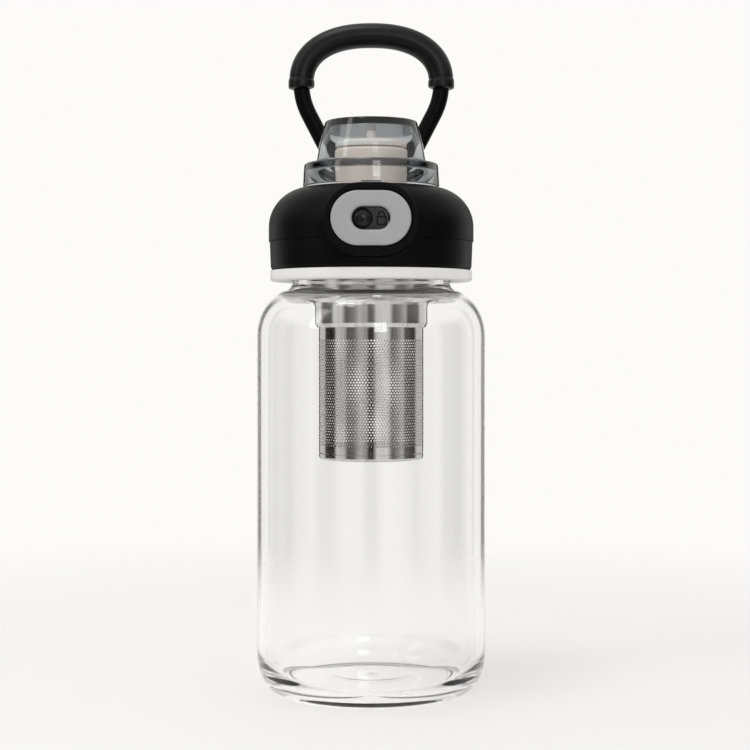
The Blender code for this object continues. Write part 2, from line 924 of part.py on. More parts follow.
def make_flip_cap(seal):
    """Smoky clear cap: flange, dome and deck in one shell, with hinge knuckles and latch hook."""
    smoke = finish("smoky_clear_plastic", (0.35, 0.36, 0.37), 0.05, clear=0.9)
    deck_z = cap_foot + flange_height
    top = cap_foot + cap_height
    waist_z = cap_foot + dome_waist_rise
    inner_deck_z = deck_z - flange_deck
    profile = [
        (0, top),
        (dome_top_radius - edge_round, top),
        (dome_top_radius, top - edge_round),
        (dome_waist_radius, waist_z),
        (dome_foot_radius, deck_z),
        (flange_top_radius - edge_round, deck_z),
        (flange_top_radius, deck_z - edge_round),
        (flange_foot_radius, cap_foot),
        (flange_foot_radius - cap_shell, cap_foot),
        (flange_top_radius - cap_shell, inner_deck_z),
        (dome_foot_radius - cap_shell, inner_deck_z),
        (dome_waist_radius - cap_shell, waist_z),
        (dome_top_radius - cap_shell, top - cap_deck),
        (0, top - cap_deck),
    ]
    cap = turned("flip_cap", profile, cap_facets, smoke, closed=False)

    pad_foot = deck_top + spout_rise + seat_gap
    pad_top = pad_foot + spout_round
    boss = ring(
        "seal_boss",
        pip_radius + seat_gap,
        boss_radius,
        pad_top + seat_gap,
        top - cap_deck / 2,
        small_facets,
        helper=True,
    )
    knuckle_end = hinge_stations()[0]
    top_arc = arc(hinge_back, hinge_z, knuckle_radius, knuckle_radius, 90, -90, 8)
    front = flange_foot_radius - cap_shell / 2
    outline = top_arc + [(front, hinge_z - knuckle_radius), (front, hinge_z + knuckle_radius)]
    knuckles = on_both_sides(outline, spring_bay_half, knuckle_end, "knuckle")
    hook_top = cap_foot + cap_shell / 2
    toe_foot = hook_foot_z()
    hook = block(
        "hook_shank",
        (-hook_half_width, hook_front_y, toe_foot),
        (hook_half_width, hook_back_y, hook_top),
    )
    toe = block(
        "hook_toe",
        (-hook_half_width + seat_gap, hook_back_y - hook_thickness / 2, toe_foot + seat_gap / 3),
        (hook_half_width - seat_gap, toe_tip_y, toe_foot + hook_toe),
    )
    unite(cap, boss, *knuckles, hook, toe)
    carve(cap, pin_bore("knuckle_bore"))

    bore = spout_bore - plug_clearance
    profile = [
        (0, pad_top + pip_height),
        (pip_radius, pad_top + pip_height),
        (pip_radius, pad_top),
    ]
    profile += arc(
        spout_radius - spout_round, pad_foot, spout_round - seat_gap, spout_round, 90, 0, 3
    )
    profile += [(bore, pad_foot), (bore - plug_taper, pad_foot - plug_depth)]
    profile += [(0, pad_foot - plug_depth)]
    turned("cap_seal", profile, small_facets, seal, closed=False)


def hook_foot_z():
    """The underside of the latch hook: its toe ends just below the latch plate."""
    return latch_plate_foot() - hook_gap - hook_toe


def latch_plate_foot():
    return plate_top + latch_arm_clearance + latch_step_rise


def make_hinge_pin(steel):
    """Pin with a head at each end. It runs through eyelets, ears and knuckles."""
    half = hinge_stations()[-1] + hinge_side_gap
    end = half + pin_head_height
    profile = [
        (0, end),
        (pin_head_radius, end),
        (pin_head_radius, half),
        (pin_radius, half),
        (pin_radius, -half),
        (pin_head_radius, -half),
        (pin_head_radius, -end),
        (0, -end),
    ]
    pin = turned("hinge_pin", profile, small_facets // 2, steel, closed=False)
    pin.matrix_world = Matrix.Translation(hinge_centre) @ Matrix.Rotation(math.pi / 2, 4, "Y")


def make_cap_spring(spring_steel):
    """Torsion spring round the pin, between the knuckles. One leg lifts the cap."""
    curl_points = 10
    mean_radius = pin_radius + pin_clearance + spring_wire / 2
    half = spring_bay_half - spring_wire / 2 - seat_gap
    cap_leg_y = flange_foot_radius + seat_gap + spring_wire / 2
    base_leg_z = hinge_z - knuckle_radius + spring_wire / 2
    top_z = hinge_z + mean_radius
    points = [(-half, cap_leg_y, top_z)]
    count = spring_coils * curl_points + curl_points // 2
    for i in range(count + 1):
        angle = math.pi / 2 - 2 * math.pi * i / curl_points
        x = -half + 2 * half * i / count
        y = hinge_back + mean_radius * math.cos(angle)
        z = hinge_z + mean_radius * math.sin(angle)
        points.append((x, y, z))
    base_leg_y = hinge_back + ear_radius - spring_leg_inset
    points.append((half, base_leg_y, base_leg_z))
    spring = tube("cap_spring", points, spring_wire / 2, 1)
    baked(spring, spring_steel)
    wound = points[1:-1]
    print("cap_spring least gap mm", round(1000 * least_gap(wound, spring_wire, curl_points), 3))


def handle_side(side):
    """The centreline of one side of the handle, from its foot up to the arch."""
    arch_base = hinge_z + handle_arch_base
    knee = Vector((handle_half_width, arch_base - handle_bend_drop))
    foot = Vector((handle_foot_x, hinge_z + handle_foot_rise))
    bend_end = knee + (foot - knee).normalized() * handle_bend_drop
    bend_start = Vector((handle_half_width, arch_base))
    leg = [foot, foot.lerp(bend_end, 0.5)]
    bend_steps = 5
    for i in range(bend_steps):
        t = 1 - i / bend_steps
        leg.append(bend_start.lerp(knee, t).lerp(knee.lerp(bend_end, t), t))
    return [(side * x, hinge_back, z) for x, z in leg]


def handle_arch():
    """The arch over the top: a flattened superellipse, from the +X side to the -X side."""
    steps = 18
    points = []
    for i in range(steps + 1):
        angle = math.pi * i / steps
        across = math.cos(angle)
        x = handle_half_width * math.copysign(abs(across) ** (2 / handle_arch_power), across)
        rise = abs(math.sin(angle)) ** (2 / handle_arch_power)
        points.append((x, hinge_back, hinge_z + handle_arch_base + handle_arch_rise * rise))
    return points


def make_handle(black):
    """Bent bar that ends in two eyelets on the hinge pin."""
    right = handle_side(1)
    left = handle_side(-1)
    path = right + handle_arch() + left[::-1]
    bar = baked(tube("handle", path, handle_bar_radius, tube_resolution), black)
    eyelet_start, eyelet_end = hinge_stations()[3:]
    bottom = arc(hinge_back, hinge_z, eyelet_radius, eyelet_radius, 180, 360, 8)
    top = hinge_z + handle_foot_rise + handle_bar_radius / 2
    inset = handle_bar_radius - seat_gap
    outline = bottom + [(hinge_back + inset, top), (hinge_back - inset, top)]
    eyelets = on_both_sides(outline, eyelet_start, eyelet_end, "eyelet")
    unite(bar, *eyelets)
    carve(bar, pin_bore("eyelet_bore"))

    grip_path = right[-1:] + handle_arch() + left[-1:]
    scales = [1.0] * len(grip_path)
    scales[0] = grip_end_flare_share
    scales[-1] = grip_end_flare_share
    rubber = finish("grip_rubber", (0.02, 0.02, 0.02), 0.6)
    sleeve = tube("handle_grip", grip_path, grip_radius, tube_resolution, scales, capped=False)
    make_hollow(sleeve, grip_radius - handle_bar_radius - seat_gap, rubber)


def make_hollow(curve_object, wall, material):
    """Turns an open tube into a sleeve whose wall grows inwards."""
    bpy.context.view_layer.update()
    graph = bpy.context.evaluated_depsgraph_get()
    name = curve_object.name
    mesh = bpy.data.meshes.new_from_object(curve_object.evaluated_get(graph), depsgraph=graph)
    bpy.data.objects.remove(curve_object, do_unlink=True)
    bm = bmesh.new()
    bm.from_mesh(mesh)
    bmesh.ops.remove_doubles(bm, verts=bm.verts, dist=weld_distance)
    bmesh.ops.recalc_face_normals(bm, faces=bm.faces)
    bm.to_mesh(mesh)
    bm.free()
    mesh.shade_smooth()
    sleeve = add_object(name, mesh, material)
    solid = sleeve.modifiers.new("wall", "SOLIDIFY")
    solid.thickness = wall
    solid.offset = -1
    solid.use_even_offset = True


def make_bezel(black):
    """Housing of the button: a raised stadium ring with a floor, springs' seat and lock post."""
    housing = along_y(
        bezel_outline(0), -bezel_front, -bezel_back, bezel_z, "button_bezel", black, helper=False
    )
    round_edges(housing, bezel_round)
    front_bore = along_y(
        stadium(button_width + 2 * seat_gap, button_height + 2 * seat_gap),
        -bezel_front - overrun,
        housing_floor_y - seat_gap,
        button_z,
        "button_bore",
    )
    wide = button_lip + seat_gap
    lip_outline = stadium(button_width + 2 * wide, button_height + 2 * wide)
    lip_bore = along_y(lip_outline, lip_front_y - seat_gap, housing_floor_y, button_z, "lip_bore")
    back_bore = along_y(
        lip_outline, housing_back_y, -bezel_back + overrun, button_z, "back_bore"
    )
    sleeve_clearance = turned(
        "sleeve_clearance",
        [
            (0, plate_top + seat_gap),
            (sleeve_outer + seat_gap, plate_top + seat_gap),
            (sleeve_outer + seat_gap, rim_foot),
            (0, rim_foot),
        ],
        body_facets,
        closed=False,
        helper=True,
    )
    arm_foot = plate_top + latch_arm_clearance
    arm_window = block(
        "arm_window",
        (-latch_half_width - seat_gap, housing_floor_y - overrun / 2, arm_foot - seat_gap),
        (
            latch_half_width + seat_gap,
            housing_back_y + overrun / 2,
            arm_foot + latch_arm + seat_gap,
        ),
    )
    post = block(
        "lock_post",
        (lock_post_x - lock_post / 2, post_front_y(), button_z - lock_post / 2),
        (lock_post_x + lock_post / 2, housing_back_y - housing_wall / 2, button_z + lock_post / 2),
    )
    carve(housing, front_bore, lip_bore, back_bore, sleeve_clearance, arm_window)
    unite(housing, post)


def post_front_y():
    """The lock post stops just short of the button's face when the button is fully in."""
    return face_back_y + button_travel + seat_gap


def make_button():
    """Grey push button: a stadium cup with a slot for the knob and a lip that keeps it in."""
    grey = finish("grey_satin_plastic", (0.4, 0.4, 0.41), 0.35)
    button = along_y(
        stadium(button_width, button_height, 10),
        button_front_y,
        button_back_y - button_lip_depth / 2,
        button_z,
        "release_button",
        grey,
        helper=False,
    )
    round_edges(button, button_round)
    lip = along_y(
        stadium(button_width + 2 * button_lip, button_height + 2 * button_lip),
        lip_front_y,
        button_back_y,
        button_z,
        "button_edge_lip",
    )
    inner_width = button_width - 2 * button_wall
    inner_height = button_height - 2 * button_wall
    cavity = along_y(
        stadium(inner_width, inner_height),
        face_back_y,
        button_back_y + overrun,
        button_z,
        "button_cavity",
    )
    slot = along_y(
        stadium(slot_width, slot_height),
        button_front_y - overrun,
        face_back_y + overrun,
        button_z,
        "knob_slot",
    )
    flare = flared_mouth(
        stadium(slot_width, slot_height),
        stadium(slot_width + 2 * slot_flare, slot_height + 2 * slot_flare),
    )
    unite(button, lip)
    carve(button, cavity, slot, flare)


def flared_mouth(small, large):
    """A cutter that widens the slot towards the front."""
    mesh = bpy.data.meshes.new("slot_flare")
    bm = bmesh.new()
    depths = (button_front_y + slot_flare, button_front_y, button_front_y - overrun)
    for outline, depth in zip((small, large, large), depths):
        for x, z in outline:
            bm.verts.new((x, depth, button_z + z))
    bmesh.ops.convex_hull(bm, input=bm.verts)
    bmesh.ops.recalc_face_normals(bm, faces=bm.faces)
    bm.to_mesh(mesh)
    bm.free()
    return add_object("slot_flare", mesh, helper=True)


def make_lock():
    """Sliding lock: a plate behind the button's slot, and the knob that moves it."""
    gloss = finish("gloss_black_plastic", (0.01, 0.01, 0.011), 0.12)
    rest_x = -lock_travel / 2
    plate = along_y(
        stadium(lock_plate_width, lock_plate_height),
        lock_front_y,
        lock_back_y,
        button_z,
        "lock_slider",
        gloss,
        helper=False,
        centre_x=rest_x,
    )
    stem_top = lock_front_y - knob_stem
    dome_rise = stem_top - button_front_y - knob_inset
    profile = arc(0, 0, knob_radius, dome_rise, 90, 0, 4)
    foot = -(lock_front_y + lock_plate_depth / 2 - stem_top)
    profile += [(knob_radius, foot), (0, foot)]
    knob = turned("lock_knob", profile, small_facets, closed=False, helper=True)
    knob.matrix_world = Matrix.Translation((rest_x, stem_top, button_z)) @ Matrix.Rotation(
        math.pi / 2, 4, "X"
    )
    unite(plate, knob)


def make_latch(steel):
    """Latch slide: a leaf in the button, an arm over the inner cap and a plate with a window."""
    arm_foot = plate_top + latch_arm_clearance
    arm_top = arm_foot + latch_arm
    plate_foot_z = latch_plate_foot()
    plate_top_z = plate_foot_z + latch_plate
    window_back = toe_tip_y - hook_engagement
    back = window_back + latch_bar
    leaf_foot = button_z - lock_plate_height / 2
    outline = [
        (leaf_front_y, leaf_foot),
        (leaf_back_y, leaf_foot),
        (leaf_back_y, arm_foot),
        (latch_step_back_y, arm_foot),
        (latch_step_back_y, plate_foot_z),
        (back, plate_foot_z),
        (back, plate_top_z),
        (latch_step_front_y, plate_top_z),
        (latch_step_front_y, arm_top),
        (leaf_front_y, arm_top),
    ]
    slide = along_x(outline, -latch_half_width, latch_half_width, "latch_slide", steel, helper=False)
    window = block(
        "latch_window",
        (-hook_half_width - hook_inset, latch_window_front_y, plate_foot_z - overrun),
        (hook_half_width + hook_inset, window_back, plate_top_z + overrun),
    )
    carve(slide, window)


def make_push_springs(spring_steel):
    """Two small coil springs that push the button back out."""
    curl_points = 8
    start_y = face_back_y + seat_gap + push_spring_wire / 2
    end_y = housing_floor_y - seat_gap - push_spring_wire / 2
    inner_half = button_height / 2 - button_wall
    centre_z = button_z - (lock_plate_height / 2 + inner_half) / 2
    count = push_spring_coils * curl_points
    for side, name in ((1, "button_spring_right"), (-1, "button_spring_left")):
        points = []
        for i in range(count + 1):
            angle = 2 * math.pi * i / curl_points
            x = side * push_spring_x + push_spring_radius * math.cos(angle)
            y = start_y + (end_y - start_y) * i / count
            points.append((x, y, centre_z + push_spring_radius * math.sin(angle)))
        first, last = Vector(points[0]), Vector(points[-1])
        points.insert(0, tuple(first - Vector((0, 0, push_spring_wire))))
        points.append(tuple(last + Vector((0, 0, push_spring_wire))))
        baked(tube(name, points, push_spring_wire / 2, 1), spring_steel)
        gap = least_gap(points[1:-1], push_spring_wire, curl_points)
        print(name, "least gap mm", round(1000 * gap, 3))


def joint_axis(name, place, parent=None):
    """An empty on a joint's axis, which carries the pieces that move about it."""
    empty = bpy.data.objects.new(name, None)
    parts.objects.link(empty)
    empty.matrix_world = Matrix.Translation(place)
    if parent:
        carry(parent, empty)
    return empty


def carry(axis, *objects):
    bpy.context.view_layer.update()
    for obj in objects:
        obj.parent = axis
        obj.matrix_parent_inverse = axis.matrix_world.inverted()


def hang_on_axes():
    """Parents each moving piece to the empty on its joint's axis."""
    lid = joint_axis("lid_axis", (0, 0, mouth_z))
    cap = joint_axis("cap_axis", hinge_centre, lid)
    handle = joint_axis("handle_axis", hinge_centre, cap)
    button = joint_axis("button_axis", (0, button_front_y, button_z), lid)
    lock = joint_axis("lock_axis", (-lock_travel / 2, lock_front_y, button_z), button)
    riders = {
        lid: (
            "lid_gasket",
            "inner_cap",
            "lid_band",
            "lid_shell",
            "button_bezel",
            "spout",
            "spout_seal",
            "button_spring_left",
            "button_spring_right",
            "cap_spring",
        ),
        cap: ("flip_cap", "cap_seal", "hinge_pin"),
        handle: ("handle", "handle_grip"),
        button: ("release_button", "latch_slide"),
        lock: ("lock_slider",),
    }
    for axis, names in riders.items():
        carry(axis, *(bpy.data.objects[name] for name in names))


def make_bottle():
    steel = finish("polished_steel", (0.78, 0.77, 0.75), 0.15, metallic=1.0)
    spring_steel = finish("spring_steel", (0.6, 0.6, 0.6), 0.3, metallic=1.0)
    silicone = finish("clear_silicone", (0.8, 0.8, 0.78), 0.5, clear=0.3)
    black = finish("matte_black_plastic", (0.012, 0.012, 0.013), 0.45)
    ridge_z = make_glass()
    make_infuser(steel)
    make_seals(silicone)
    make_inner_cap(ridge_z)
    band_inner = make_band(black)
    make_shell(band_inner, black)
    seal = make_spout()
    make_flip_cap(seal)
    make_hinge_pin(steel)
    make_cap_spring(spring_steel)
    make_handle(black)
    make_bezel(black)
    make_button()
    make_lock()
    make_latch(spring_steel)
    make_push_springs(spring_steel)
    hang_on_axes()


make_bottle()
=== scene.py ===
import math
import bmesh
import bpy
from mathutils import Matrix, Vector


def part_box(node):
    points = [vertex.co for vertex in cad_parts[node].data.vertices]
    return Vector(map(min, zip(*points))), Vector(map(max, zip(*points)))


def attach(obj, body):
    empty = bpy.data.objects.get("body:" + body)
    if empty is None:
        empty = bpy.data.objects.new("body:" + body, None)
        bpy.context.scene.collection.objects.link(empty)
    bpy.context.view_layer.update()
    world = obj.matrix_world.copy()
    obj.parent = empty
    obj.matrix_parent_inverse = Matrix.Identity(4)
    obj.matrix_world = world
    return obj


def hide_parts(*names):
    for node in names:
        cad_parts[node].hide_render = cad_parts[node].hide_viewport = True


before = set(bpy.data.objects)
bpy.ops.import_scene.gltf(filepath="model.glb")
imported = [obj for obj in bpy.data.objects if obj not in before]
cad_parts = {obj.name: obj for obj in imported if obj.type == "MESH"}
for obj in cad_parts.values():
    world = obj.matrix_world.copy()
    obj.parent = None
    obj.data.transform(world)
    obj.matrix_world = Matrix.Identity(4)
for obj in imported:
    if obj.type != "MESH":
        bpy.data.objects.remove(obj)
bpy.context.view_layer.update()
scene = bpy.context.scene

# Shapes are worked out in millimetres, and every mesh is scaled to metres as it is made
toMetres = Matrix.Scale(0.001, 4)
turnSteps = 144
mergeDistance = 0.0005
sharpAngle = 35
# A fillet takes at most this share of the edge on each side of it
filletShare = 0.48
print("stage: frame loaded,", len(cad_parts), "nodes")


def boxOf(node):
    low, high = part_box(node)
    return low * 1000, high * 1000


# Outlines

def arcPoints(centreX, centreZ, width, rise, start, end, steps):
    points = []
    for i in range(steps + 1):
        angle = math.radians(start + (end - start) * i / steps)
        points.append((centreX + width * math.cos(angle), centreZ + rise * math.sin(angle), 0))
    return points


def filleted(corners, closed=True, steps=5):
    # Each corner is (across, along, fillet); a fillet of 0 keeps it sharp
    points = []
    last = len(corners) - 1
    for i, (x, z, fillet) in enumerate(corners):
        here = Vector((x, z))
        if not fillet or (not closed and i in (0, last)):
            points.append((x, z))
            continue
        back = Vector(corners[i - 1][:2]) - here
        on = Vector(corners[(i + 1) % len(corners)][:2]) - here
        half = back.angle(on) / 2
        reach = min(fillet / math.tan(half), filletShare * back.length, filletShare * on.length)
        radius = reach * math.tan(half)
        towards = (back.normalized() + on.normalized()).normalized()
        centre = here + towards * (radius / math.sin(half))
        first = here + back.normalized() * reach - centre
        second = here + on.normalized() * reach - centre
        begin = math.atan2(first.y, first.x)
        sweep = math.atan2(second.y, second.x) - begin
        sweep = (sweep + math.pi) % (2 * math.pi) - math.pi
        for step in range(steps + 1):
            angle = begin + sweep * step / steps
            x = centre.x + radius * math.cos(angle)
            points.append((x, centre.y + radius * math.sin(angle)))
    return points


def stadium(width, height, depth, centreZ, steps=14, centreX=0):
    # A slot outline in X and Z at one depth along Y
    radius = height / 2
    straight = width / 2 - radius
    points = []
    for side in (1, -1):
        for i in range(steps + 1):
            angle = -math.pi / 2 + math.pi * i / steps
            x = centreX + side * (straight + radius * math.cos(angle))
            points.append((x, depth, centreZ + side * radius * math.sin(angle)))
    return points


# Solids

def placed(name, data):
    piece = bpy.data.objects.new(name, data)
    scene.collection.objects.link(piece)
    return piece


def meshOf(name, bm):
    mesh = bpy.data.meshes.new(name)
    bm.to_mesh(mesh)
    bm.free()
    return mesh


def smoothed(mesh, sharp):
    mesh.shade_smooth()
    mesh.set_sharp_from_angle(angle=math.radians(sharp))


def evaluated(piece):
    # The mesh that a piece's modifiers give; the modifiers are then removed
    bpy.context.view_layer.update()
    graph = bpy.context.evaluated_depsgraph_get()
    mesh = bpy.data.meshes.new_from_object(piece.evaluated_get(graph), depsgraph=graph)
    piece.modifiers.clear()
    return mesh


def shown(name, bm, sharp=sharpAngle):
    bmesh.ops.remove_doubles(bm, verts=bm.verts, dist=mergeDistance)
    bmesh.ops.recalc_face_normals(bm, faces=bm.faces)
    mesh = meshOf(name, bm)
    smoothed(mesh, sharp)
    return placed(name, mesh)


def spun(name, corners, closed=True, steps=turnSteps):
    outline = filleted(corners, closed)
    bm = bmesh.new()
    verts = [bm.verts.new((x, 0, z)) for x, z in outline]
    edges = [bm.edges.new(pair) for pair in zip(verts, verts[1:])]
    if closed:
        edges.append(bm.edges.new((verts[-1], verts[0])))
    bmesh.ops.spin(bm, geom=verts + edges, axis=(0, 0, 1), cent=(0, 0, 0),
                   angle=2 * math.pi, steps=steps, use_merge=True)
    return shown(name, bm)


def lofted(name, rings, closed=False, sharp=sharpAngle):
    # Equal rings of points, bridged in order, with flat ends unless the last joins the first
    bm = bmesh.new()
    loops = [[bm.verts.new(point) for point in ring] for ring in rings]
    pairs = list(zip(loops, loops[1:])) + ([(loops[-1], loops[0])] if closed else [])
    for one, two in pairs:
        for i in range(len(one)):
            bm.faces.new((one[i - 1], one[i], two[i], two[i - 1]))
    if not closed:
        bm.faces.new(loops[0])
        bm.faces.new(loops[-1])
    return shown(name, bm, sharp)


def slab(name, outline, low, high):
    # A flat outline in Y and Z made solid along X
    return lofted(name, [[(x, y, z) for y, z in outline] for x in (low, high)])


def onBothSides(name, outline, start, end):
    return [slab(name + "Right", outline, start, end), slab(name + "Left", outline, -end, -start)]


def roundOutline(radius, start, end, steps=20):
    # Part of a circle round the hinge's axis, in Y and Z
    points = arcPoints(hinge["y"], hinge["z"], radius, radius, start, end, steps)
    return [(y, z) for y, z, _ in points]


def brick(name, low, high):
    bm = bmesh.new()
    low, high = Vector(low), Vector(high)
    size = Matrix.Diagonal((*(high - low), 1))
    bmesh.ops.create_cube(bm, size=1, matrix=Matrix.Translation((low + high) / 2) @ size)
    return shown(name, bm)


def anglesRound(sides):
    return [2 * math.pi * j / sides for j in range(sides)]


def swept(name, places, radii, sides=28):
    # A round bar in a plane of constant Y, with a radius at each place
    rings = []
    for i, place in enumerate(places):
        ahead = places[min(i + 1, len(places) - 1)] - places[max(i - 1, 0)]
        side = ahead.normalized().cross(Vector((0, 1, 0)))
        rings.append([
            place + radii[i] * (side * math.cos(angle) + Vector((0, math.sin(angle), 0)))
            for angle in anglesRound(sides)])
    return lofted(name, rings)


def withBooleans(piece, joins=(), cuts=(), keeps=(), sharp=sharpAngle):
    # Joins, cuts and limits a piece by others, which are then removed
    tools = [("UNION", joins), ("DIFFERENCE", cuts), ("INTERSECT", keeps)]
    for operation, others in tools:
        for other in others:
            modifier = piece.modifiers.new(other.name, "BOOLEAN")
            modifier.operation = operation
            modifier.object = other
    mesh = evaluated(piece)
    mesh.validate()
    smoothed(mesh, sharp)
    piece.data = mesh
    for _, others in tools:
        for other in others:
            bpy.data.objects.remove(other, do_unlink=True)
    return piece


def settle(piece, material, body, slot, *nodes):
    # Scales a finished piece to metres, gives it its finish and puts it on its body.
    # Clear ones throw no shadow.
    piece.data.transform(toMetres)
    piece.data.materials.clear()
    piece.data.materials.append(material)
    piece.visible_shadow = material not in clearFinishes
    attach(piece, body)
    if nodes:
        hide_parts(*nodes)


# Node trees

def addNode(tree, kind, inputs=None, **values):
    # A new node with its settings; each input is linked to a socket or holds a value
    node = tree.nodes.new(kind)
    for key, value in values.items():
        setattr(node, key, value)
    for key, source in (inputs or {}).items():
        if isinstance(source, bpy.types.NodeSocket):
            tree.links.new(source, node.inputs[key])
        else:
            node.inputs[key].default_value = source
    return node


def mathsOn(tree, operation, *terms):
    return addNode(tree, "ShaderNodeMath", dict(enumerate(terms)), operation=operation).outputs[0]


def smoothStep(tree, value, start, end):
    ramp = {"Value": value, "From Min": start, "From Max": end}
    node = addNode(tree, "ShaderNodeMapRange", ramp, interpolation_type="SMOOTHSTEP")
    return node.outputs["Result"]


# Finishes

def finish(name, colour, roughness, others=None):
    material = bpy.data.materials.new(name)
    material.use_nodes = True
    shader = material.node_tree.nodes["Principled BSDF"]
    values = {"Base Color": (*colour, 1), "Roughness": roughness, "IOR": 1.5, **(others or {})}
    for key, value in values.items():
        shader.inputs[key].default_value = value
    return material, material.node_tree, shader


def noiseOn(tree, perMetre, detail=2.0, stretch=(1, 1, 1)):
    # Noise on the piece's own coordinates, with so many features per metre
    own = addNode(tree, "ShaderNodeTexCoord").outputs["Object"]
    stretched = addNode(tree, "ShaderNodeMapping", {"Vector": own, "Scale": stretch}).outputs[0]
    noise = {"Vector": stretched, "Scale": perMetre, "Detail": detail}
    return addNode(tree, "ShaderNodeTexNoise", noise).outputs["Fac"]


def addBump(tree, shader, height, distance, strength=1.0):
    bump = {"Strength": strength, "Distance": distance, "Height": height}
    normal = addNode(tree, "ShaderNodeBump", bump).outputs["Normal"]
    tree.links.new(normal, shader.inputs["Normal"])


def varyRoughness(tree, shader, source, low, high):
    ramp = addNode(tree, "ShaderNodeMapRange", {"Value": source, "To Min": low, "To Max": high})
    tree.links.new(ramp.outputs["Result"], shader.inputs["Roughness"])


def varyColour(tree, shader, source, low, high):
    ramp = addNode(tree, "ShaderNodeValToRGB", {"Fac": source})
    for stop, place, colour in zip(ramp.color_ramp.elements, (0.3, 0.7), (low, high)):
        stop.position = place
        stop.color = (*colour, 1)
    tree.links.new(ramp.outputs["Color"], shader.inputs["Base Color"])


moulding = {"patches": 90, "patchDetail": 3, "glossSpread": 0.05}
clearLook = {
    "tint": (0.992, 0.992, 0.988), "roughness": 0.0, "ior": 1.5,
    "waves": 38, "stretch": (1, 1, 0.35), "depth": 0.0004, "strength": 0.05,
}
smokyLook = {
    "tint": (1, 1, 1), "roughness": 0.03, "ior": 1.49,
    "waves": 60, "stretch": (1, 1, 1), "depth": 0.0003, "strength": 0.05,
    "smoke": (0.02, 0.04, 0.06), "density": 340,
}
steelLook = {
    "markedAndReflectedStreaks": 260, "streakStretch": (1, 1, 0.04),
    "marks": 900, "markStretch": (1, 1, 0.03), "depth": 0.00002, "strength": 0.2,
}
springLook = {
    "colour": (0.5, 0.5, 0.5), "roughness": 0.28, "patches": 500, "gloss": (0.2, 0.36),
    "others": {"Metallic": 1},
}
siliconeLook = {
    "colour": (0.82, 0.79, 0.75), "roughness": 0.5, "patches": 300, "gloss": (0.42, 0.58),
    "others": {"Subsurface Weight": 0.3, "Subsurface Scale": 0.002},
}


def mouldedPlastic(name, colour, roughness, grain, depth, spread, shine):
    # Moulded grain, with a slight change of tone and gloss over the surface
    material, tree, shader = finish(name, colour, roughness, {"Specular IOR Level": shine})
    tone = noiseOn(tree, moulding["patches"], moulding["patchDetail"])
    darker, lighter = [[c * (1 + sign * spread) for c in colour] for sign in (-1, 1)]
    varyColour(tree, shader, tone, darker, lighter)
    change = moulding["glossSpread"]
    varyRoughness(tree, shader, tone, roughness - change, roughness + change)
    addBump(tree, shader, noiseOn(tree, grain), depth)
    return material


def clearMaterial(name, look):
    # Slightly uneven, as glass and clear plastic are
    clear = {"IOR": look["ior"], "Transmission Weight": 1}
    material, tree, shader = finish(name, look["tint"], look["roughness"], clear)
    waves = noiseOn(tree, look["waves"], 1, look["stretch"])
    addBump(tree, shader, waves, look["depth"], look["strength"])
    if "smoke" in look:
        smoke = {"Color": (*look["smoke"], 1), "Density": look["density"]}
        volume = addNode(tree, "ShaderNodeVolumeAbsorption", smoke).outputs["Volume"]
        tree.links.new(volume, tree.nodes["Material Output"].inputs["Volume"])
    return material


def makeSteel(name, dark, light, smoothest, roughest):
    # Fine upright streaks: the bump is drawing marks in the sheet, and the darker and lighter
    # colour streaks are partly those marks and partly painted reflection streaks
    material, tree, shader = finish(name, light, smoothest, {"Metallic": 1})
    markedAndReflectedStreaks = noiseOn(tree, steelLook["markedAndReflectedStreaks"], stretch=steelLook["streakStretch"])
    varyColour(tree, shader, markedAndReflectedStreaks, dark, light)
    varyRoughness(tree, shader, markedAndReflectedStreaks, smoothest, roughest)
    marks = noiseOn(tree, steelLook["marks"], stretch=steelLook["markStretch"])
    addBump(tree, shader, marks, steelLook["depth"], steelLook["strength"])
    return material


def patchyMaterial(name, look):
    # One colour, with gloss that changes in patches
    material, tree, shader = finish(name, look["colour"], look["roughness"], look["others"])
    varyRoughness(tree, shader, noiseOn(tree, look["patches"]), *look["gloss"])
    return material


clearGlass = clearMaterial("clearGlass", clearLook)
smokyPlastic = clearMaterial("smokyPlastic", smokyLook)
clearFinishes = (clearGlass, smokyPlastic)
# The polished steel's darker and lighter colour streaks are partly drawing marks and partly painted
# reflection streaks
polishedSteel = makeSteel("polishedSteel", (0.5, 0.485, 0.47), (0.68, 0.665, 0.65), 0.04, 0.1)
# Paler than the outer steel as painted light, so the inside of the sleeve looks lit; its higher
# roughness is a real finish
innerSteelPaintedBright = makeSteel("innerSteelPaintedBright", (0.86, 0.85, 0.83), (0.94, 0.93, 0.91), 0.3, 0.4)
springSteel = patchyMaterial("springSteel", springLook)
paleSilicone = patchyMaterial("paleSilicone", siliconeLook)
# Each plastic's colour, roughness, grains per metre, grain depth, change of tone and shine
satinBlack, gripRubber, greySatin, knobBlack, slotGrey, markBlack, whitePlastic, creamPlastic = (
    mouldedPlastic(*values) for values in (
        ("satinBlack", (0.0018, 0.0018, 0.002), 0.4, 2600, 0.00004, 0.12, 0.07),
        ("gripRubber", (0.0015, 0.0015, 0.0017), 0.34, 3200, 0.00005, 0.12, 0.26),
        ("greySatin", (0.36, 0.36, 0.37), 0.36, 2200, 0.00002, 0.03, 0.5),
        ("knobBlack", (0.004, 0.004, 0.0045), 0.24, 400, 0.000005, 0.12, 0.3),
        ("slotGrey", (0.024, 0.024, 0.026), 0.34, 1800, 0.00002, 0.12, 0.3),
        ("markBlack", (0.002, 0.002, 0.002), 0.4, 800, 0.00001, 0.12, 0.1),
        ("whitePlastic", (0.84, 0.82, 0.8), 0.38, 1500, 0.00001, 0.02, 0.5),
        ("creamPlastic", (0.89, 0.8, 0.72), 0.35, 1500, 0.00001, 0.03, 0.5),
    ))
print("stage: finishes made")


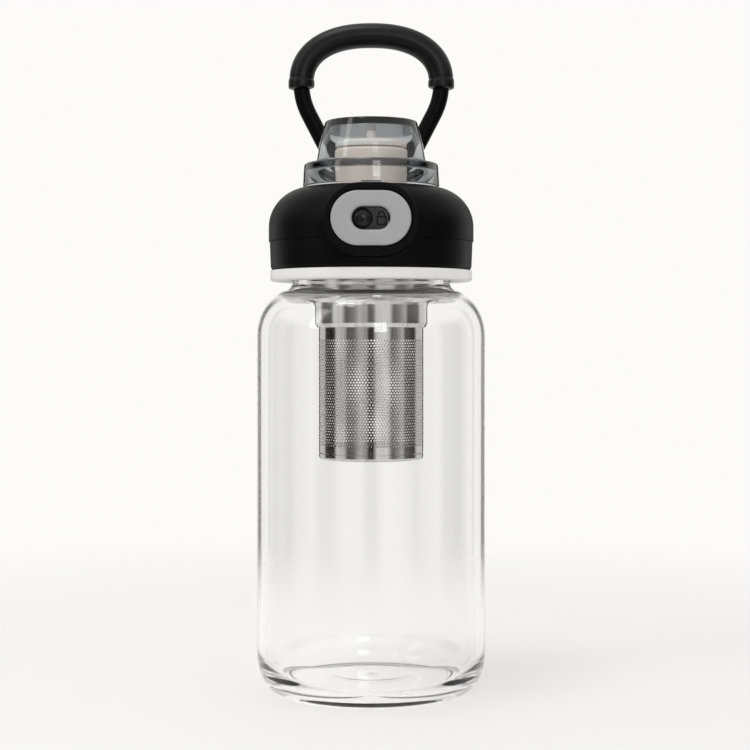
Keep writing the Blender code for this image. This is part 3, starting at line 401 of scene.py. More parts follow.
# Glass bottle
bottle = {
    "wall": 2.8, "shoulderFlare": 2, "shoulderRise": 19.5, "shoulderEnd": 74, "neckHeight": 25.5,
    "neck": 31, "neckWall": 3.4, "bead": 1.4, "beadRise": 5.1, "beadTaper": 1.2, "beadStep": 0.1,
    "lip": 0.9, "innerLip": 0.8, "heelWidth": 8, "heelRise": 16, "footWidth": 3.5, "punt": 1.2,
    "puntSteps": 12, "base": 3, "floorCrown": 0.8, "cornerWidth": 11.7, "cornerRise": 13.5,
    "cornerStart": -86, "lineDepth": 0.14, "lineWidth": 0.15, "rippleReach": 5, "ripplePitch": 2.1,
    "rippleDepth": 0.12, "discEdge": 16.3, "discStep": 0.1, "discSharpness": 6, "floorSteps": 84,
    "heelSteps": 22, "innerSteps": 20, "outerSteps": 24, "beadSteps": 8,
    "threadPitch": 4.5, "threadTurns": 1.25, "threadDepth": 1.1, "threadRoot": 1.6,
    "threadCrest": 0.8, "threadDrop": 8.4, "threadMargin": 1.2, "threadRow": 0.27,
    # Its ends fade out over this share of a turn, and only points this near the wall are moved
    "threadRunout": 1 / 12, "threadReach": 0.01,
}


def threadRows(foot, top):
    # Rows of points close enough together for the thread to stand out of them
    count = round((top - foot) / bottle["threadRow"])
    return [foot + (top - foot) * i / count for i in range(count + 1)]


def raiseThread(mesh, foot, inwards, wall):
    # Pushes the wall's points out, or in, along one right-hand helix
    half, crest = bottle["threadRoot"] / 2, bottle["threadCrest"] / 2
    turns, runout = bottle["threadTurns"], bottle["threadRunout"]
    for vertex in mesh.vertices:
        across = Vector((vertex.co.x, vertex.co.y))
        if abs(across.length - wall) > bottle["threadReach"]:
            continue
        turn = math.atan2(vertex.co.y, vertex.co.x) / (2 * math.pi) % 1
        raised = 0
        for lap in range(2):
            along = turn + lap
            if along > turns:
                continue
            away = abs(vertex.co.z - foot - bottle["threadPitch"] * along)
            slope = min(1, max(0, (half - away) / (half - crest)))
            ends = min(1, along / runout, (turns - along) / runout)
            raised = max(raised, slope * ends)
        factor = 1 + (-1 if inwards else 1) * raised * bottle["threadDepth"] / across.length
        vertex.co.x *= factor
        vertex.co.y *= factor


def floorHeight(r, edge):
    # The inside of the base: a low crown with ripples in its middle and the step of a disc
    fade = max(0, 1 - r / bottle["rippleReach"])
    wave = bottle["rippleDepth"] * fade * math.cos(2 * math.pi * r / bottle["ripplePitch"])
    past = r - bottle["discEdge"]
    disc = bottle["discStep"] / (1 + math.exp(bottle["discSharpness"] * past))
    crown = bottle["floorCrown"] * (1 - (r / edge) ** 2)
    return bottle["base"] + crown + wave + disc


def makeBottle():
    high = boxOf("glass_bottle")[1]
    body, mouth, base = high.x, high.z, bottle["base"]
    neck, bore = bottle["neck"], bottle["neck"] - bottle["neckWall"]
    shoulder = neck + bottle["shoulderFlare"]
    width, rise, end = body - shoulder, bottle["shoulderRise"], bottle["shoulderEnd"]
    inner = (width - bottle["wall"], rise - bottle["wall"])
    top = mouth - bottle["neckHeight"] - rise
    outerEnd = arcPoints(shoulder, top, width, rise, end, end, 1)[0]
    innerEnd = arcPoints(shoulder, top, *inner, end, end, 1)[0]
    bead, beadRise, beadSteps = bottle["bead"], bottle["beadRise"], bottle["beadSteps"]
    beadZ = outerEnd[1] + beadRise
    beadTop = beadZ + bead
    heelWidth, heelRise = bottle["heelWidth"], bottle["heelRise"]
    corner, cornerRise = bottle["cornerWidth"], bottle["cornerRise"]
    heel = body - heelWidth
    edge = body - bottle["wall"] - corner
    # Up the inside: the floor, its corner, the wall, the shoulder and the neck
    radii = [edge * i / bottle["floorSteps"] for i in range(bottle["floorSteps"] + 1)]
    corners = [(r, floorHeight(r, edge), 0) for r in radii]
    corners.append((edge + bottle["lineWidth"], base + bottle["lineDepth"], 0))
    corners += arcPoints(edge, base + cornerRise, corner, cornerRise,
                         bottle["cornerStart"], 0, bottle["heelSteps"])
    corners += arcPoints(shoulder, top, *inner, 0, end, bottle["innerSteps"])
    corners += arcPoints(innerEnd[0], innerEnd[1] + beadRise, innerEnd[0] - bore, beadRise,
                         -90, -180, beadSteps)[1:]
    corners += [(bore, mouth, bottle["innerLip"]), (neck, mouth, bottle["lip"])]
    # Down the outside: the thread, the bead, the shoulder, the heel and the hollow underneath
    threadTop = mouth - bottle["threadDrop"]
    ridge = threadTop - bottle["threadPitch"] * bottle["threadTurns"]
    rows = threadRows(ridge - bottle["threadMargin"], threadTop + bottle["threadMargin"])
    corners += [(neck, z, 0) for z in reversed(rows)]
    corners.append((neck, beadTop + bottle["beadTaper"], 0))
    corners.append((neck + bottle["beadStep"], beadTop, 0))
    corners += arcPoints(outerEnd[0], beadZ, outerEnd[0] - (neck + bead), beadRise,
                         -180, -90, beadSteps)[:-1]
    corners += arcPoints(shoulder, top, width, rise, end, 0, bottle["outerSteps"])
    corners += arcPoints(heel, heelRise, heelWidth, heelRise, 0, -90, bottle["heelSteps"])
    punt, steps = bottle["punt"], bottle["puntSteps"]
    foot = heel - bottle["footWidth"]
    hollow = foot - punt
    corners += [(foot, 0, 0.5), (hollow, punt / 2, 0.7)]
    for i in range(2, steps):
        share = 1 - i / steps
        corners.append((hollow * share, punt - punt / 2 * share ** 2, 0))
    corners.append((0, punt, 0))
    piece = spun("glassBottle", corners, closed=False)
    raiseThread(piece.data, ridge, False, neck)
    settle(piece, clearGlass, "bottle", "clear_glass", "glass_bottle")
    return ridge


threadFoot = makeBottle()


# Steel infuser
infuser = {
    "sheet": 0.6, "insertClearance": 0.7, "insertDrop": 28, "collar": 23.5, "collarLength": 10.6,
    "collarStep": 1.4, "collarShoulder": 1.0, "collarHeel": 0.4, "lipClearance": 0.25,
    "sleeve": 21.8, "sleeveSheet": 0.3, "sleeveSharp": 40, "plainBand": 4.8, "plainFoot": 5.8,
    "columns": 106, "rows": 39, "hole": 0.47, "weld": 0.01,
    "baseRound": 2.2, "spigot": 3.0, "spigotClearance": 0.3, "dishEdge": 12, "dish": 10,
    "dishRise": 0.3,
}


def makeCollar():
    low, high = boxOf("infuser_collar")
    sheet, collar, step = infuser["sheet"], infuser["collar"], infuser["collarStep"]
    insert = bottle["neck"] - bottle["neckWall"] - infuser["insertClearance"]
    insertFoot = boxOf("glass_bottle")[1].z - infuser["insertDrop"]
    foot, top = low.z, low.z + infuser["collarLength"]
    lip = infuser["sleeve"] + infuser["lipClearance"]
    corners = [
        (high.x, high.z, 0.25), (high.x, high.z - sheet, 0.25), (insert, high.z - sheet, 0.8),
        (insert, insertFoot, 1.2), (collar + sheet, top + sheet, 0.8),
        (collar, top - infuser["collarShoulder"], 0.6),
        (collar, foot + step + infuser["collarHeel"], 1.0), (lip + sheet, foot, 0.5),
        (lip, foot, 0.2), (lip, foot + step, 0.4), (collar - sheet, foot + 2 * step, 0.8),
        (collar - sheet, top, 0.8), (insert - sheet, insertFoot + sheet, 1.2),
        (insert - sheet, high.z, 0.3),
    ]
    piece = spun("infuserCollar", corners)
    settle(piece, polishedSteel, "bottle", "polished_steel", "infuser_collar")


def makeInfuserBase():
    low, high = boxOf("infuser_base")
    sheet, radius = infuser["sheet"], infuser["sleeve"]
    rim, floor = high.z - infuser["spigot"], low.z + sheet
    outer = radius - sheet - infuser["spigotClearance"]
    inner, dishTop = outer - sheet, low.z + infuser["dishRise"]
    corners = [
        (0, floor, 0), (inner, floor, 1.6), (inner, high.z, 0.2), (outer, high.z, 0.2),
        (outer, rim, 0.05), (radius, rim, 0.03), (radius, low.z, infuser["baseRound"]),
        (infuser["dishEdge"], low.z, 2), (infuser["dish"], dishTop, 2), (0, dishTop, 0),
    ]
    piece = spun("infuserBase", corners, closed=False)
    settle(piece, polishedSteel, "bottle", "polished_steel", "infuser_base")


def holeCell(pitch, row):
    # One flat cell of sheet round a hole, whose rim points meet those of the staggered rows
    bm = bmesh.new()
    rim = [(-0.5, -0.5), (0, -0.5), (0.5, -0.5), (0.5, 0.5), (0, 0.5), (-0.5, 0.5)]
    outer = [bm.verts.new((x * pitch, y * row, 0)) for x, y in rim]
    inner = []
    for i in range(6):
        angle = math.radians(-150 + 60 * i)
        x, y = infuser["hole"] * math.cos(angle), infuser["hole"] * math.sin(angle)
        inner.append(bm.verts.new((x, y, 0)))
    for i in range(6):
        bm.faces.new((outer[i - 1], outer[i], inner[i], inner[i - 1]))
    return placed("infuserSleeve", meshOf("holeCell", bm))


def perforatedTube(sizes):
    # A flat sheet of hole cells, rolled into a tube, with a plain band above and one below
    tree = bpy.data.node_groups.new("perforatedTube", "GeometryNodeTree")
    sockets = [("INPUT", "Geometry", "Geometry"), ("OUTPUT", "Geometry", "Geometry")]
    sockets += [("INPUT", label, kind) for label, (kind, _) in sizes.items()]
    for way, label, kind in sockets:
        tree.interface.new_socket(label, in_out=way, socket_type="NodeSocket" + kind)
    given = tree.nodes.new("NodeGroupInput").outputs
    radius, row, holesFoot = given["Radius"], given["Row Height"], given["Holes Foot"]

    def work(operation, *terms):
        return mathsOn(tree, operation, *terms)

    def times(one, two):
        return work("MULTIPLY", one, two)

    def add(kind, links, **values):
        return addNode(tree, "GeometryNode" + kind, links, **values).outputs[0]

    def combine(parts):
        return addNode(tree, "ShaderNodeCombineXYZ", parts).outputs[0]

    def position():
        return addNode(tree, "ShaderNodeSeparateXYZ", {0: add("InputPosition", {})}).outputs

    around = times(radius, 2 * math.pi)
    pitch = work("DIVIDE", around, given["Columns"])
    grid = add("MeshGrid", {
        "Size X": work("SUBTRACT", around, pitch),
        "Size Y": times(row, work("SUBTRACT", given["Rows"], 1)),
        "Vertices X": given["Columns"],
        "Vertices Y": given["Rows"],
    })
    halfHeight = times(times(row, given["Rows"]), 0.5)
    rowNumber = work("FLOOR", work("DIVIDE", work("ADD", position()[1], halfHeight), row))
    shift = times(work("MODULO", rowNumber, 2.0), times(pitch, 0.5))
    staggered = add("SetPosition", {"Geometry": grid, "Offset": combine({0: shift})})
    cells = add("InstanceOnPoints", {"Points": staggered, "Instance": given["Geometry"]})
    flat = add("RealizeInstances", {"Geometry": cells})
    spot = position()
    angle = work("DIVIDE", spot[0], radius)
    rolled = combine({
        0: times(work("COSINE", angle), radius),
        1: times(work("SINE", angle), radius),
        2: work("ADD", work("ADD", spot[1], halfHeight), holesFoot),
    })
    holes = add("SetPosition", {"Geometry": flat, "Position": rolled})

    def band(height, start, direction):
        sides = times(given["Columns"], 2.0)
        ring = add("MeshCylinder", {"Vertices": sides, "Radius": radius, "Depth": height},
                   fill_type="NONE")
        middle = work(direction, start, times(height, 0.5))
        return add("Transform", {"Geometry": ring, "Translation": combine({2: middle})})

    holesTop = work("ADD", holesFoot, times(halfHeight, 2.0))
    above = band(given["Band Above"], holesTop, "ADD")
    below = band(given["Band Below"], holesFoot, "SUBTRACT")
    join = tree.nodes.new("GeometryNodeJoinGeometry")
    for piece in (holes, above, below):
        tree.links.new(piece, join.inputs[0])
    merged = add("MergeByDistance", {"Geometry": join.outputs[0], "Distance": infuser["weld"]})
    smooth = add("SetShadeSmooth", {"Geometry": merged})
    whole = add("RealizeInstances", {"Geometry": smooth})
    painted = add("SetMaterial", {"Geometry": whole, "Material": given["Material"]})
    addNode(tree, "NodeGroupOutput", {0: painted})
    return tree


def makeSleeve():
    low, high = boxOf("infuser_sleeve")
    pitch = 2 * math.pi * infuser["sleeve"] / infuser["columns"]
    foot = boxOf("infuser_base")[0].z + infuser["plainFoot"]
    holesTop = boxOf("infuser_collar")[0].z - infuser["plainBand"]
    row = (holesTop - foot) / infuser["rows"]
    sizes = {
        "Columns": ("Int", infuser["columns"]), "Rows": ("Int", infuser["rows"]),
        "Radius": ("Float", infuser["sleeve"]), "Row Height": ("Float", row),
        "Holes Foot": ("Float", foot), "Band Above": ("Float", high.z - holesTop),
        "Band Below": ("Float", foot - low.z), "Material": ("Material", polishedSteel),
    }
    sleeve = holeCell(pitch, row)
    modifier = sleeve.modifiers.new("holes", "NODES")
    modifier.node_group = perforatedTube(sizes)
    for item in modifier.node_group.interface.items_tree:
        if item.in_out == "INPUT" and item.name in sizes:
            modifier[item.identifier] = sizes[item.name][1]
    wall = sleeve.modifiers.new("sheet", "SOLIDIFY")
    wall.thickness = infuser["sleeveSheet"]
    wall.offset = -1
    mesh = evaluated(sleeve)
    smoothed(mesh, infuser["sleeveSharp"])
    sleeve.data = mesh
    # The sheet's inner faces get a paler, rougher steel; the rougher finish is real, and the
    # paleness is painted light that brightens the inside as light through the holes would
    edge = infuser["sleeve"] - infuser["sleeveSheet"] / 4
    inside = [int(math.hypot(face.center.x, face.center.y) < edge) for face in mesh.polygons]
    settle(sleeve, polishedSteel, "bottle", "polished_steel", "infuser_sleeve")
    mesh.materials.append(innerSteelPaintedBright)
    mesh.polygons.foreach_set("material_index", inside)


makeCollar()
makeInfuserBase()
makeSleeve()
print("stage: bottle and infuser made")


# Lid
lid = {
    "radius": 42.5, "bandFoot": 41.2, "bandSide": 41.7, "bandTop": 42.1, "bandWall": 2.3,
    "ledge": 2.4, "chamfer": 1.2, "shellWall": 2.5, "knee": 6, "crown": 25.5, "crownRise": 16.5,
    "lapHeight": 3.2, "lapWall": 1.5, "capBore": 33, "capSleeve": 35.2, "rimHeight": 4.5,
    "rimRound": 1.3, "port": 11, "plate": 2.2, "gap": 0.3, "seamGap": 0.12, "spoutHole": 15.3,
    "threadBelow": 3.5, "threadAbove": 6.5, "threadStart": -1.9,
    # The shell's lobe follows the bezel's outline this far outside it, down into the band
    "lobe": 2.2, "lobeTop": 1.2, "lobeDrop": 30, "lobeDepths": (-45, -33),
    "openingDepths": (-50, -32), "sharp": 32,
    "slotHalf": 4.3, "slotFront": -29.2, "slotBack": -23.6, "slotBelow": 4, "slotAbove": 2,
}


def middleOf(node):
    low, high = boxOf(node)
    return (low.z + high.z) / 2


capBox = boxOf("inner_cap")
level = {
    "rimFoot": capBox[0].z, "plateTop": capBox[1].z, "seam": boxOf("lid_band")[1].z + lid["gap"],
    "bezel": middleOf("button_bezel"), "button": middleOf("release_button"),
}
level["deck"] = level["seam"] + lid["knee"] + lid["crownRise"]


def makeInnerCap():
    foot, top, radius = level["rimFoot"], level["plateTop"], boxOf("inner_cap")[1].x
    bore, outer, port = lid["capBore"], lid["capSleeve"], lid["port"]
    rimTop, ceiling = foot + lid["rimHeight"], top - lid["plate"]
    rows = threadRows(threadFoot - lid["threadBelow"], threadFoot + lid["threadAbove"])
    corners = [
        (outer, top, 0.4), (outer, rimTop, 0.3), (radius, rimTop, 0.35),
        (radius, foot, lid["rimRound"]), (bore, foot, 0.8),
    ]
    corners += [(bore, z, 0) for z in rows]
    corners += [(bore, ceiling, 1.0), (port, ceiling, 0.3), (port, top, 0.3)]
    piece = spun("innerCap", corners)
    raiseThread(piece.data, threadFoot + lid["threadStart"], True, bore)
    settle(piece, whitePlastic, "lid", "white_plastic", "inner_cap")


def makeBand():
    foot = level["rimFoot"] + lid["rimHeight"] + lid["gap"]
    top, ledge = level["seam"] - lid["seamGap"], foot + lid["ledge"]
    inner, bore = lid["bandTop"] - lid["bandWall"], lid["capSleeve"] + lid["gap"]
    corners = [
        (lid["bandTop"], top, 0.1), (lid["bandSide"], foot + lid["chamfer"], 0.8),
        (lid["bandFoot"], foot, 0.3), (bore, foot, 0.2), (bore, ledge, 0.2),
        (inner, ledge, 0.3), (inner, top, 0.2),
    ]
    notch = bezelPlug("bandNotch", lid["lobe"] + lid["seamGap"], *lid["lobeDepths"])
    band = withBooleans(spun("lidBand", corners), cuts=[notch])
    settle(band, satinBlack, "lid", "matte_black", "lid_band")


hinge = {
    "y": 32, "rise": 3.6, "ear": 3.2, "earStart": 5.4, "earEnd": 8.4, "earRoot": 2,
    "baseRise": 8, "pin": 1.5, "head": 2.3, "headDepth": 0.8, "pinEnd": 14.0, "pinSteps": 40,
    "knuckle": 3.0, "knuckleStart": 2.8, "knuckleEnd": 5.0,
    "eyelet": 3.9, "eyeletStart": 8.8, "eyeletEnd": 12.8,
}
hinge["z"] = level["deck"] + hinge["rise"]


def makeShell():
    seam, deck = level["seam"], level["deck"]
    knee = seam + lid["knee"]
    wall, hole, crown, rise = lid["shellWall"], lid["spoutHole"], lid["crown"], lid["crownRise"]
    outer, inner = lid["radius"], lid["radius"] - wall
    lap = lid["bandTop"] - lid["bandWall"] - lid["gap"]
    lapInner, lapFoot = lap - lid["lapWall"], seam - lid["lapHeight"]
    corners = [(hole, deck, 0.4)]
    corners += arcPoints(crown, knee, outer - crown, rise, 90, 0, 30)
    corners += [
        (outer, seam, 0.1), (lap, seam, 0.1), (lap, lapFoot, 0.2), (lapInner, lapFoot, 0.2),
        (lapInner, seam + wall / 2, 0.4), (inner, seam + wall, 0.4),
    ]
    corners += arcPoints(crown, knee, inner - crown, rise - wall, 0, 90, 16)
    corners.append((hole, deck - wall, 0.2))
    shell = spun("lidShell", corners)
    lobeTop, lobeFoot = seam + lid["lobeTop"], level["bezel"] - lid["lobeDrop"]
    lobe = spun("lobe", [(lid["bandTop"], lobeTop, 0), (lid["bandTop"], lobeFoot, 0),
                         (inner, lobeFoot, 0), (inner, lobeTop, 0)])
    withBooleans(lobe, keeps=[bezelPlug("lobeLimit", lid["lobe"], *lid["lobeDepths"])])
    front = boxOf("flip_cap")[1].x + lid["gap"]
    baseTop = hinge["z"] - hinge["knuckle"] - lid["gap"]
    base = brick("hingeBase", (-hinge["earEnd"], front, knee + hinge["baseRise"]),
                 (hinge["earEnd"], hinge["y"] + hinge["ear"], baseTop))
    # Each ear is round over the pin and goes straight down to its foot
    ear, earFoot = hinge["ear"], deck - hinge["earRoot"]
    outline = roundOutline(ear, 0, 180) + [(hinge["y"] - ear, earFoot), (hinge["y"] + ear, earFoot)]
    ears = onBothSides("ear", outline, hinge["earStart"], hinge["earEnd"])
    slot = brick("hookSlot", (-lid["slotHalf"], lid["slotFront"], deck - lid["slotBelow"]),
                 (lid["slotHalf"], lid["slotBack"], deck + lid["slotAbove"]))
    opening = bezelPlug("bezelOpening", lid["gap"] / 2, *lid["openingDepths"])
    withBooleans(shell, joins=[lobe, base, *ears], cuts=[opening, slot], sharp=lid["sharp"])
    settle(shell, satinBlack, "lid", "matte_black", "lid_shell")


# The button's housing. Sections are (margin, depth, fillet) outside a slot-shaped outline.
bezel = {
    "width": 37.1, "height": 28.9, "round": 1.3, "lip": 1, "clearance": 0.3, "flare": 0.9,
    "mouthRound": 0.5, "depth": 7.2, "floor": 8, "sharp": 40,
}


def bezelPlug(name, margin, near, far):
    return lofted(name, stadiumRings(
        bezel["width"], bezel["height"], level["bezel"], [(margin, near), (margin, far)]))


def stadiumRings(width, height, centre, section, steps=24, centreX=0):
    return [stadium(width + 2 * margin, height + 2 * margin, depth, centre, steps, centreX)
            for margin, depth in section]


def makeBezel():
    low, high = boxOf("button_bezel")
    front, back, floor = low.y, high.y, low.y + bezel["depth"]
    outline = [(0, back, 0), (0, front, bezel["round"]), (-bezel["lip"], front, 0)]
    rings = stadiumRings(bezel["width"], bezel["height"], level["bezel"],
                         filleted(outline, closed=False, steps=8))
    mouth = [(bezel["flare"], front, 0), (0, front, bezel["mouthRound"]), (0, floor, 0.2),
             (-bezel["floor"], floor, 0)]
    width, height = (button[key] + 2 * bezel["clearance"] for key in ("width", "height"))
    rings += stadiumRings(width, height, level["button"], filleted(mouth, closed=False))
    piece = lofted("buttonBezel", rings, sharp=bezel["sharp"])
    settle(piece, satinBlack, "lid", "matte_black", "button_bezel")


button = {
    "width": 31.6, "height": 21.5, "edge": 0.9, "wall": 1.6, "depth": 2.5, "reach": 3, "lip": 2,
    "slotWidth": 15.1, "slotHeight": 9.1, "slotFlare": 2.4, "slotRound": 1.5, "sharp": 40,
}


def makeButton():
    low, high = boxOf("release_button")
    front, back, inside = low.y, high.y, low.y + button["depth"]
    centre, width, height = level["button"], button["width"], button["height"]
    outer = [(-button["reach"], back, 0), (0, back, 0.2), (0, front, button["edge"]),
             (-button["lip"], front, 0)]
    slot = [(button["slotFlare"], front, 0), (0, front, button["slotRound"]), (0, inside, 0)]
    hollow = [(-button["wall"], inside), (-button["wall"], back)]
    rings = stadiumRings(width, height, centre, filleted(outer, closed=False, steps=8)[1:])
    rings += stadiumRings(button["slotWidth"], button["slotHeight"], centre,
                          filleted(slot, closed=False, steps=9))
    rings += stadiumRings(width, height, centre, hollow)
    piece = lofted("releaseButton", rings, closed=True, sharp=button["sharp"])
    settle(piece, greySatin, "button", "grey_plastic", "release_button")


lock = {
    "plate": 1.2, "width": 20.8, "height": 10, "steps": 16, "back": 0.3, "face": 2,
    "knob": 4.05, "knobRoot": 0.5, "knobEnd": 88, "knobSides": 48, "greyDepth": 0.12,
}


def makeLock():
    low, high = boxOf("lock_slider")
    centreX, centre = (low.x + high.x) / 2, level["button"]
    back, front, plate = high.y, low.y, high.y - lock["plate"]
    section = [(-lock["back"], back, 0), (0, back, 0.1), (0, plate, 0.3), (-lock["face"], plate, 0)]
    slider = lofted("lockSlider", stadiumRings(
        lock["width"], lock["height"], centre, filleted(section, False), lock["steps"], centreX))
    dome = arcPoints(0, plate, lock["knob"], front - plate, 0, lock["knobEnd"], lock["steps"])
    knob = lofted("lockKnob", [
        [(centreX + r * math.cos(angle), y, centre + r * math.sin(angle))
         for angle in anglesRound(lock["knobSides"])]
        for r, y, _ in [(lock["knob"], plate + lock["knobRoot"], 0)] + dome])
    withBooleans(slider, joins=[knob])
    settle(slider, knobBlack, "lock", "gloss_black", "lock_slider")
    # The plate behind the knob shows grey in the button's slot
    slider.data.materials.append(slotGrey)
    for face in slider.data.polygons:
        face.material_index = int(face.center.y * 1000 > plate - lock["greyDepth"])
    return centreX, plate


mark = {
    "right": 7.5, "drop": 1.0, "half": 1.95, "height": 3.5, "line": 0.55, "raise": 0.12,
    "root": 0.1, "shackle": 1.4, "stand": 2.1, "legFoot": 1.5, "shackleSink": 0.05, "steps": 14,
}


def frameOutline(name, outer, inner, near, far):
    # A raised line: the band between two like outlines
    edges = ((outer, far), (outer, near), (inner, near), (inner, far))
    return lofted(name, [[(x, y, z) for x, z in outline] for outline, y in edges], closed=True)


def makeLockMark(centreX, plate):
    # A plain padlock in raised lines, on the part of the slider that the slot shows
    x, z = centreX + mark["right"], level["button"] - mark["drop"]

    def box(grow):
        half, rise = mark["half"] - grow, mark["height"] / 2 - grow
        return [(x + i * half, z + j * rise) for i, j in ((-1, -1), (1, -1), (1, 1), (-1, 1))]

    def bow(grow):
        radius = mark["shackle"] - grow
        top = z + mark["height"] / 2 + mark["stand"] - mark["shackle"]
        arch = [point[:2] for point in arcPoints(x, top, radius, radius, 0, 180, mark["steps"])]
        legFoot = z + mark["legFoot"]
        return [(x + radius, legFoot)] + arch + [(x - radius, legFoot)]

    near, far, line = plate - mark["raise"], plate + mark["root"], mark["line"]
    body = frameOutline("padlockMark", box(0), box(line), near, far)
    shackle = frameOutline("shackle", bow(0), bow(line), near + mark["shackleSink"], far)
    withBooleans(body, joins=[shackle])
    settle(body, markBlack, "lock", "gloss_black")


spout = {"radius": 15, "bore": 11.5, "flange": 2.6, "steps": 96}


def makeSpout():
    low, high = boxOf("spout")
    radius, bore, edge = spout["radius"], spout["bore"], high.x
    flange = level["deck"] - lid["shellWall"] - lid["gap"]
    flangeFoot = flange - spout["flange"]
    corners = [
        (bore, high.z, 0.6), (radius, high.z, 2.2), (radius, flange, 0.2), (edge, flange, 0.3),
        (edge, flangeFoot, 0.3), (radius, flangeFoot, 0.2), (radius, low.z, 0.3),
        (bore, low.z, 0.3),
    ]
    piece = spun("drinkingSpout", corners, steps=spout["steps"])
    settle(piece, creamPlastic, "lid", "cream_plastic", "spout")


makeInnerCap()
makeBand()
makeShell()
makeBezel()
makeButton()
makeLockMark(*makeLock())
makeSpout()
print("stage: lid made")


# Flip cap, its hinge and the carry handle
flip = {
    "flangeFoot": 28.4, "flangeTop": 27.9, "flange": 9.6, "flangeDeck": 2.7, "wall": 0.8,
    "domeFoot": 22.9, "waist": 21.5, "domeTop": 19.0, "waistRise": 17.6, "height": 27.1,
    "deck": 2.9, "solidHeight": 27.7,
    "hookHalf": 4, "hookFront": -27.9, "hookBack": -26.1,
    "toeHalf": 3.7, "toeFront": -27.0, "toeBack": -23.9, "toeFoot": 0.1, "toeTop": 2.3,
}
flip["foot"] = boxOf("flip_cap")[1].z - flip["solidHeight"]


def makeFlipCap():
    foot, wall = flip["foot"], flip["wall"]
    deck, top, waist = foot + flip["flange"], foot + flip["height"], foot + flip["waistRise"]
    underDeck, roof = deck - flip["flangeDeck"], top - flip["deck"]
    corners = [
        (0, top, 0), (flip["domeTop"], top, 0.8), (flip["waist"], waist, 8),
        (flip["domeFoot"], deck, 1.5), (flip["flangeTop"], deck, 1.3),
        (flip["flangeFoot"], foot, 0.35), (flip["flangeFoot"] - wall, foot, 0.35),
        (flip["flangeTop"] - wall, underDeck, 0.9), (flip["domeFoot"] - wall, underDeck, 0.6),
        (flip["waist"] - wall, waist, 8), (flip["domeTop"] - wall, roof, 0.8), (0, roof, 0),
    ]
    cap = spun("flipCap", corners, closed=False)
    front, knuckle = flip["flangeFoot"] - wall / 2, hinge["knuckle"]
    outline = roundOutline(knuckle, 90, -90)
    outline += [(front, hinge["z"] - knuckle), (front, hinge["z"] + knuckle)]
    knuckles = onBothSides("knuckle", outline, hinge["knuckleStart"], hinge["knuckleEnd"])
    hookFoot, half, toeHalf = boxOf("flip_cap")[0].z, flip["hookHalf"], flip["toeHalf"]
    hook = brick("hookShank", (-half, flip["hookFront"], hookFoot),
                 (half, flip["hookBack"], foot + wall / 2))
    toe = brick("hookToe", (-toeHalf, flip["toeFront"], hookFoot + flip["toeFoot"]),
                (toeHalf, flip["toeBack"], hookFoot + flip["toeTop"]))
    withBooleans(cap, joins=[*knuckles, hook, toe])
    settle(cap, smokyPlastic, "cap", "smoky_plastic", "flip_cap")


seal = {"pad": 1.0, "padHeight": 3.0, "stem": 1.9, "bore": 10.5, "taper": 0.8, "steps": 96}


def makeCapSeal():
    low, high = boxOf("cap_seal")
    pad, edge, stem, bore = low.z + seal["pad"], high.x, seal["stem"], seal["bore"]
    padTop, roof = pad + seal["padHeight"], flip["foot"] + flip["height"] - flip["deck"]
    corners = [
        (0, roof, 0), (stem, roof, 0.2), (stem, padTop, 0.8), (edge, padTop, 1.8), (edge, pad, 0.3),
        (bore, pad, 0.3), (bore - seal["taper"], low.z, 0.5), (0, low.z, 0),
    ]
    piece = spun("capSeal", corners, closed=False, steps=seal["steps"])
    settle(piece, paleSilicone, "cap", "seal_silicone", "cap_seal")


def makeHingePin():
    end, head, radius = hinge["pinEnd"], hinge["head"], hinge["pin"]
    under = end - hinge["headDepth"]
    half = [(0, end, 0), (head, end, 0.5), (head, under, 0.1), (radius, under, 0.1)]
    corners = half + [(r, -along, fillet) for r, along, fillet in reversed(half)]
    pin = spun("hingePin", corners, closed=False, steps=hinge["pinSteps"])
    place = Matrix.Translation((0, hinge["y"], hinge["z"])) @ Matrix.Rotation(math.pi / 2, 4, "Y")
    pin.data.transform(place)
    settle(pin, polishedSteel, "cap", "polished_steel", "hinge_pin")


handle = {
    "half": 30.3, "bar": 3.5, "archBase": 44.4, "archRise": 20.7, "power": 2.3, "bend": 7.1,
    "legSteps": 6, "bendSteps": 12, "footX": 13.1, "footRise": 4.2, "eyeletInset": 0.3,
    "pitch": 1.6,
}
grip = {
    "radius": 5.35, "inset": 0.4, "pitch": 0.55, "sides": 40, "lip": 0.3, "lipLength": 3.9,
    "lipSharpness": 6, "groove": 0.12, "grooveSharpness": 2.2, "grooveShift": 0.5,
}


def handleLeg(side):
    base = hinge["z"] + handle["archBase"]
    knee = Vector((handle["half"], base - handle["bend"]))
    foot = Vector((handle["footX"], hinge["z"] + handle["footRise"]))
    bendEnd = knee + (foot - knee).normalized() * handle["bend"]
    bendStart = Vector((handle["half"], base))
    points = [foot.lerp(bendEnd, i / handle["legSteps"]) for i in range(handle["legSteps"])]
    for i in range(handle["bendSteps"] + 1):
        t = 1 - i / handle["bendSteps"]
        points.append(bendStart.lerp(knee, t).lerp(knee.lerp(bendEnd, t), t))
    return [Vector((side * x, hinge["y"], z)) for x, z in points]


def handleArch(steps=60):
    # Without its two ends, where the legs begin
    points = []
    for i in range(1, steps):
        angle = math.pi * i / steps
        across = math.cos(angle)
        x = handle["half"] * math.copysign(abs(across) ** (2 / handle["power"]), across)
        rise = handle["archRise"] * abs(math.sin(angle)) ** (2 / handle["power"])
        points.append(Vector((x, hinge["y"], hinge["z"] + handle["archBase"] + rise)))
    return points


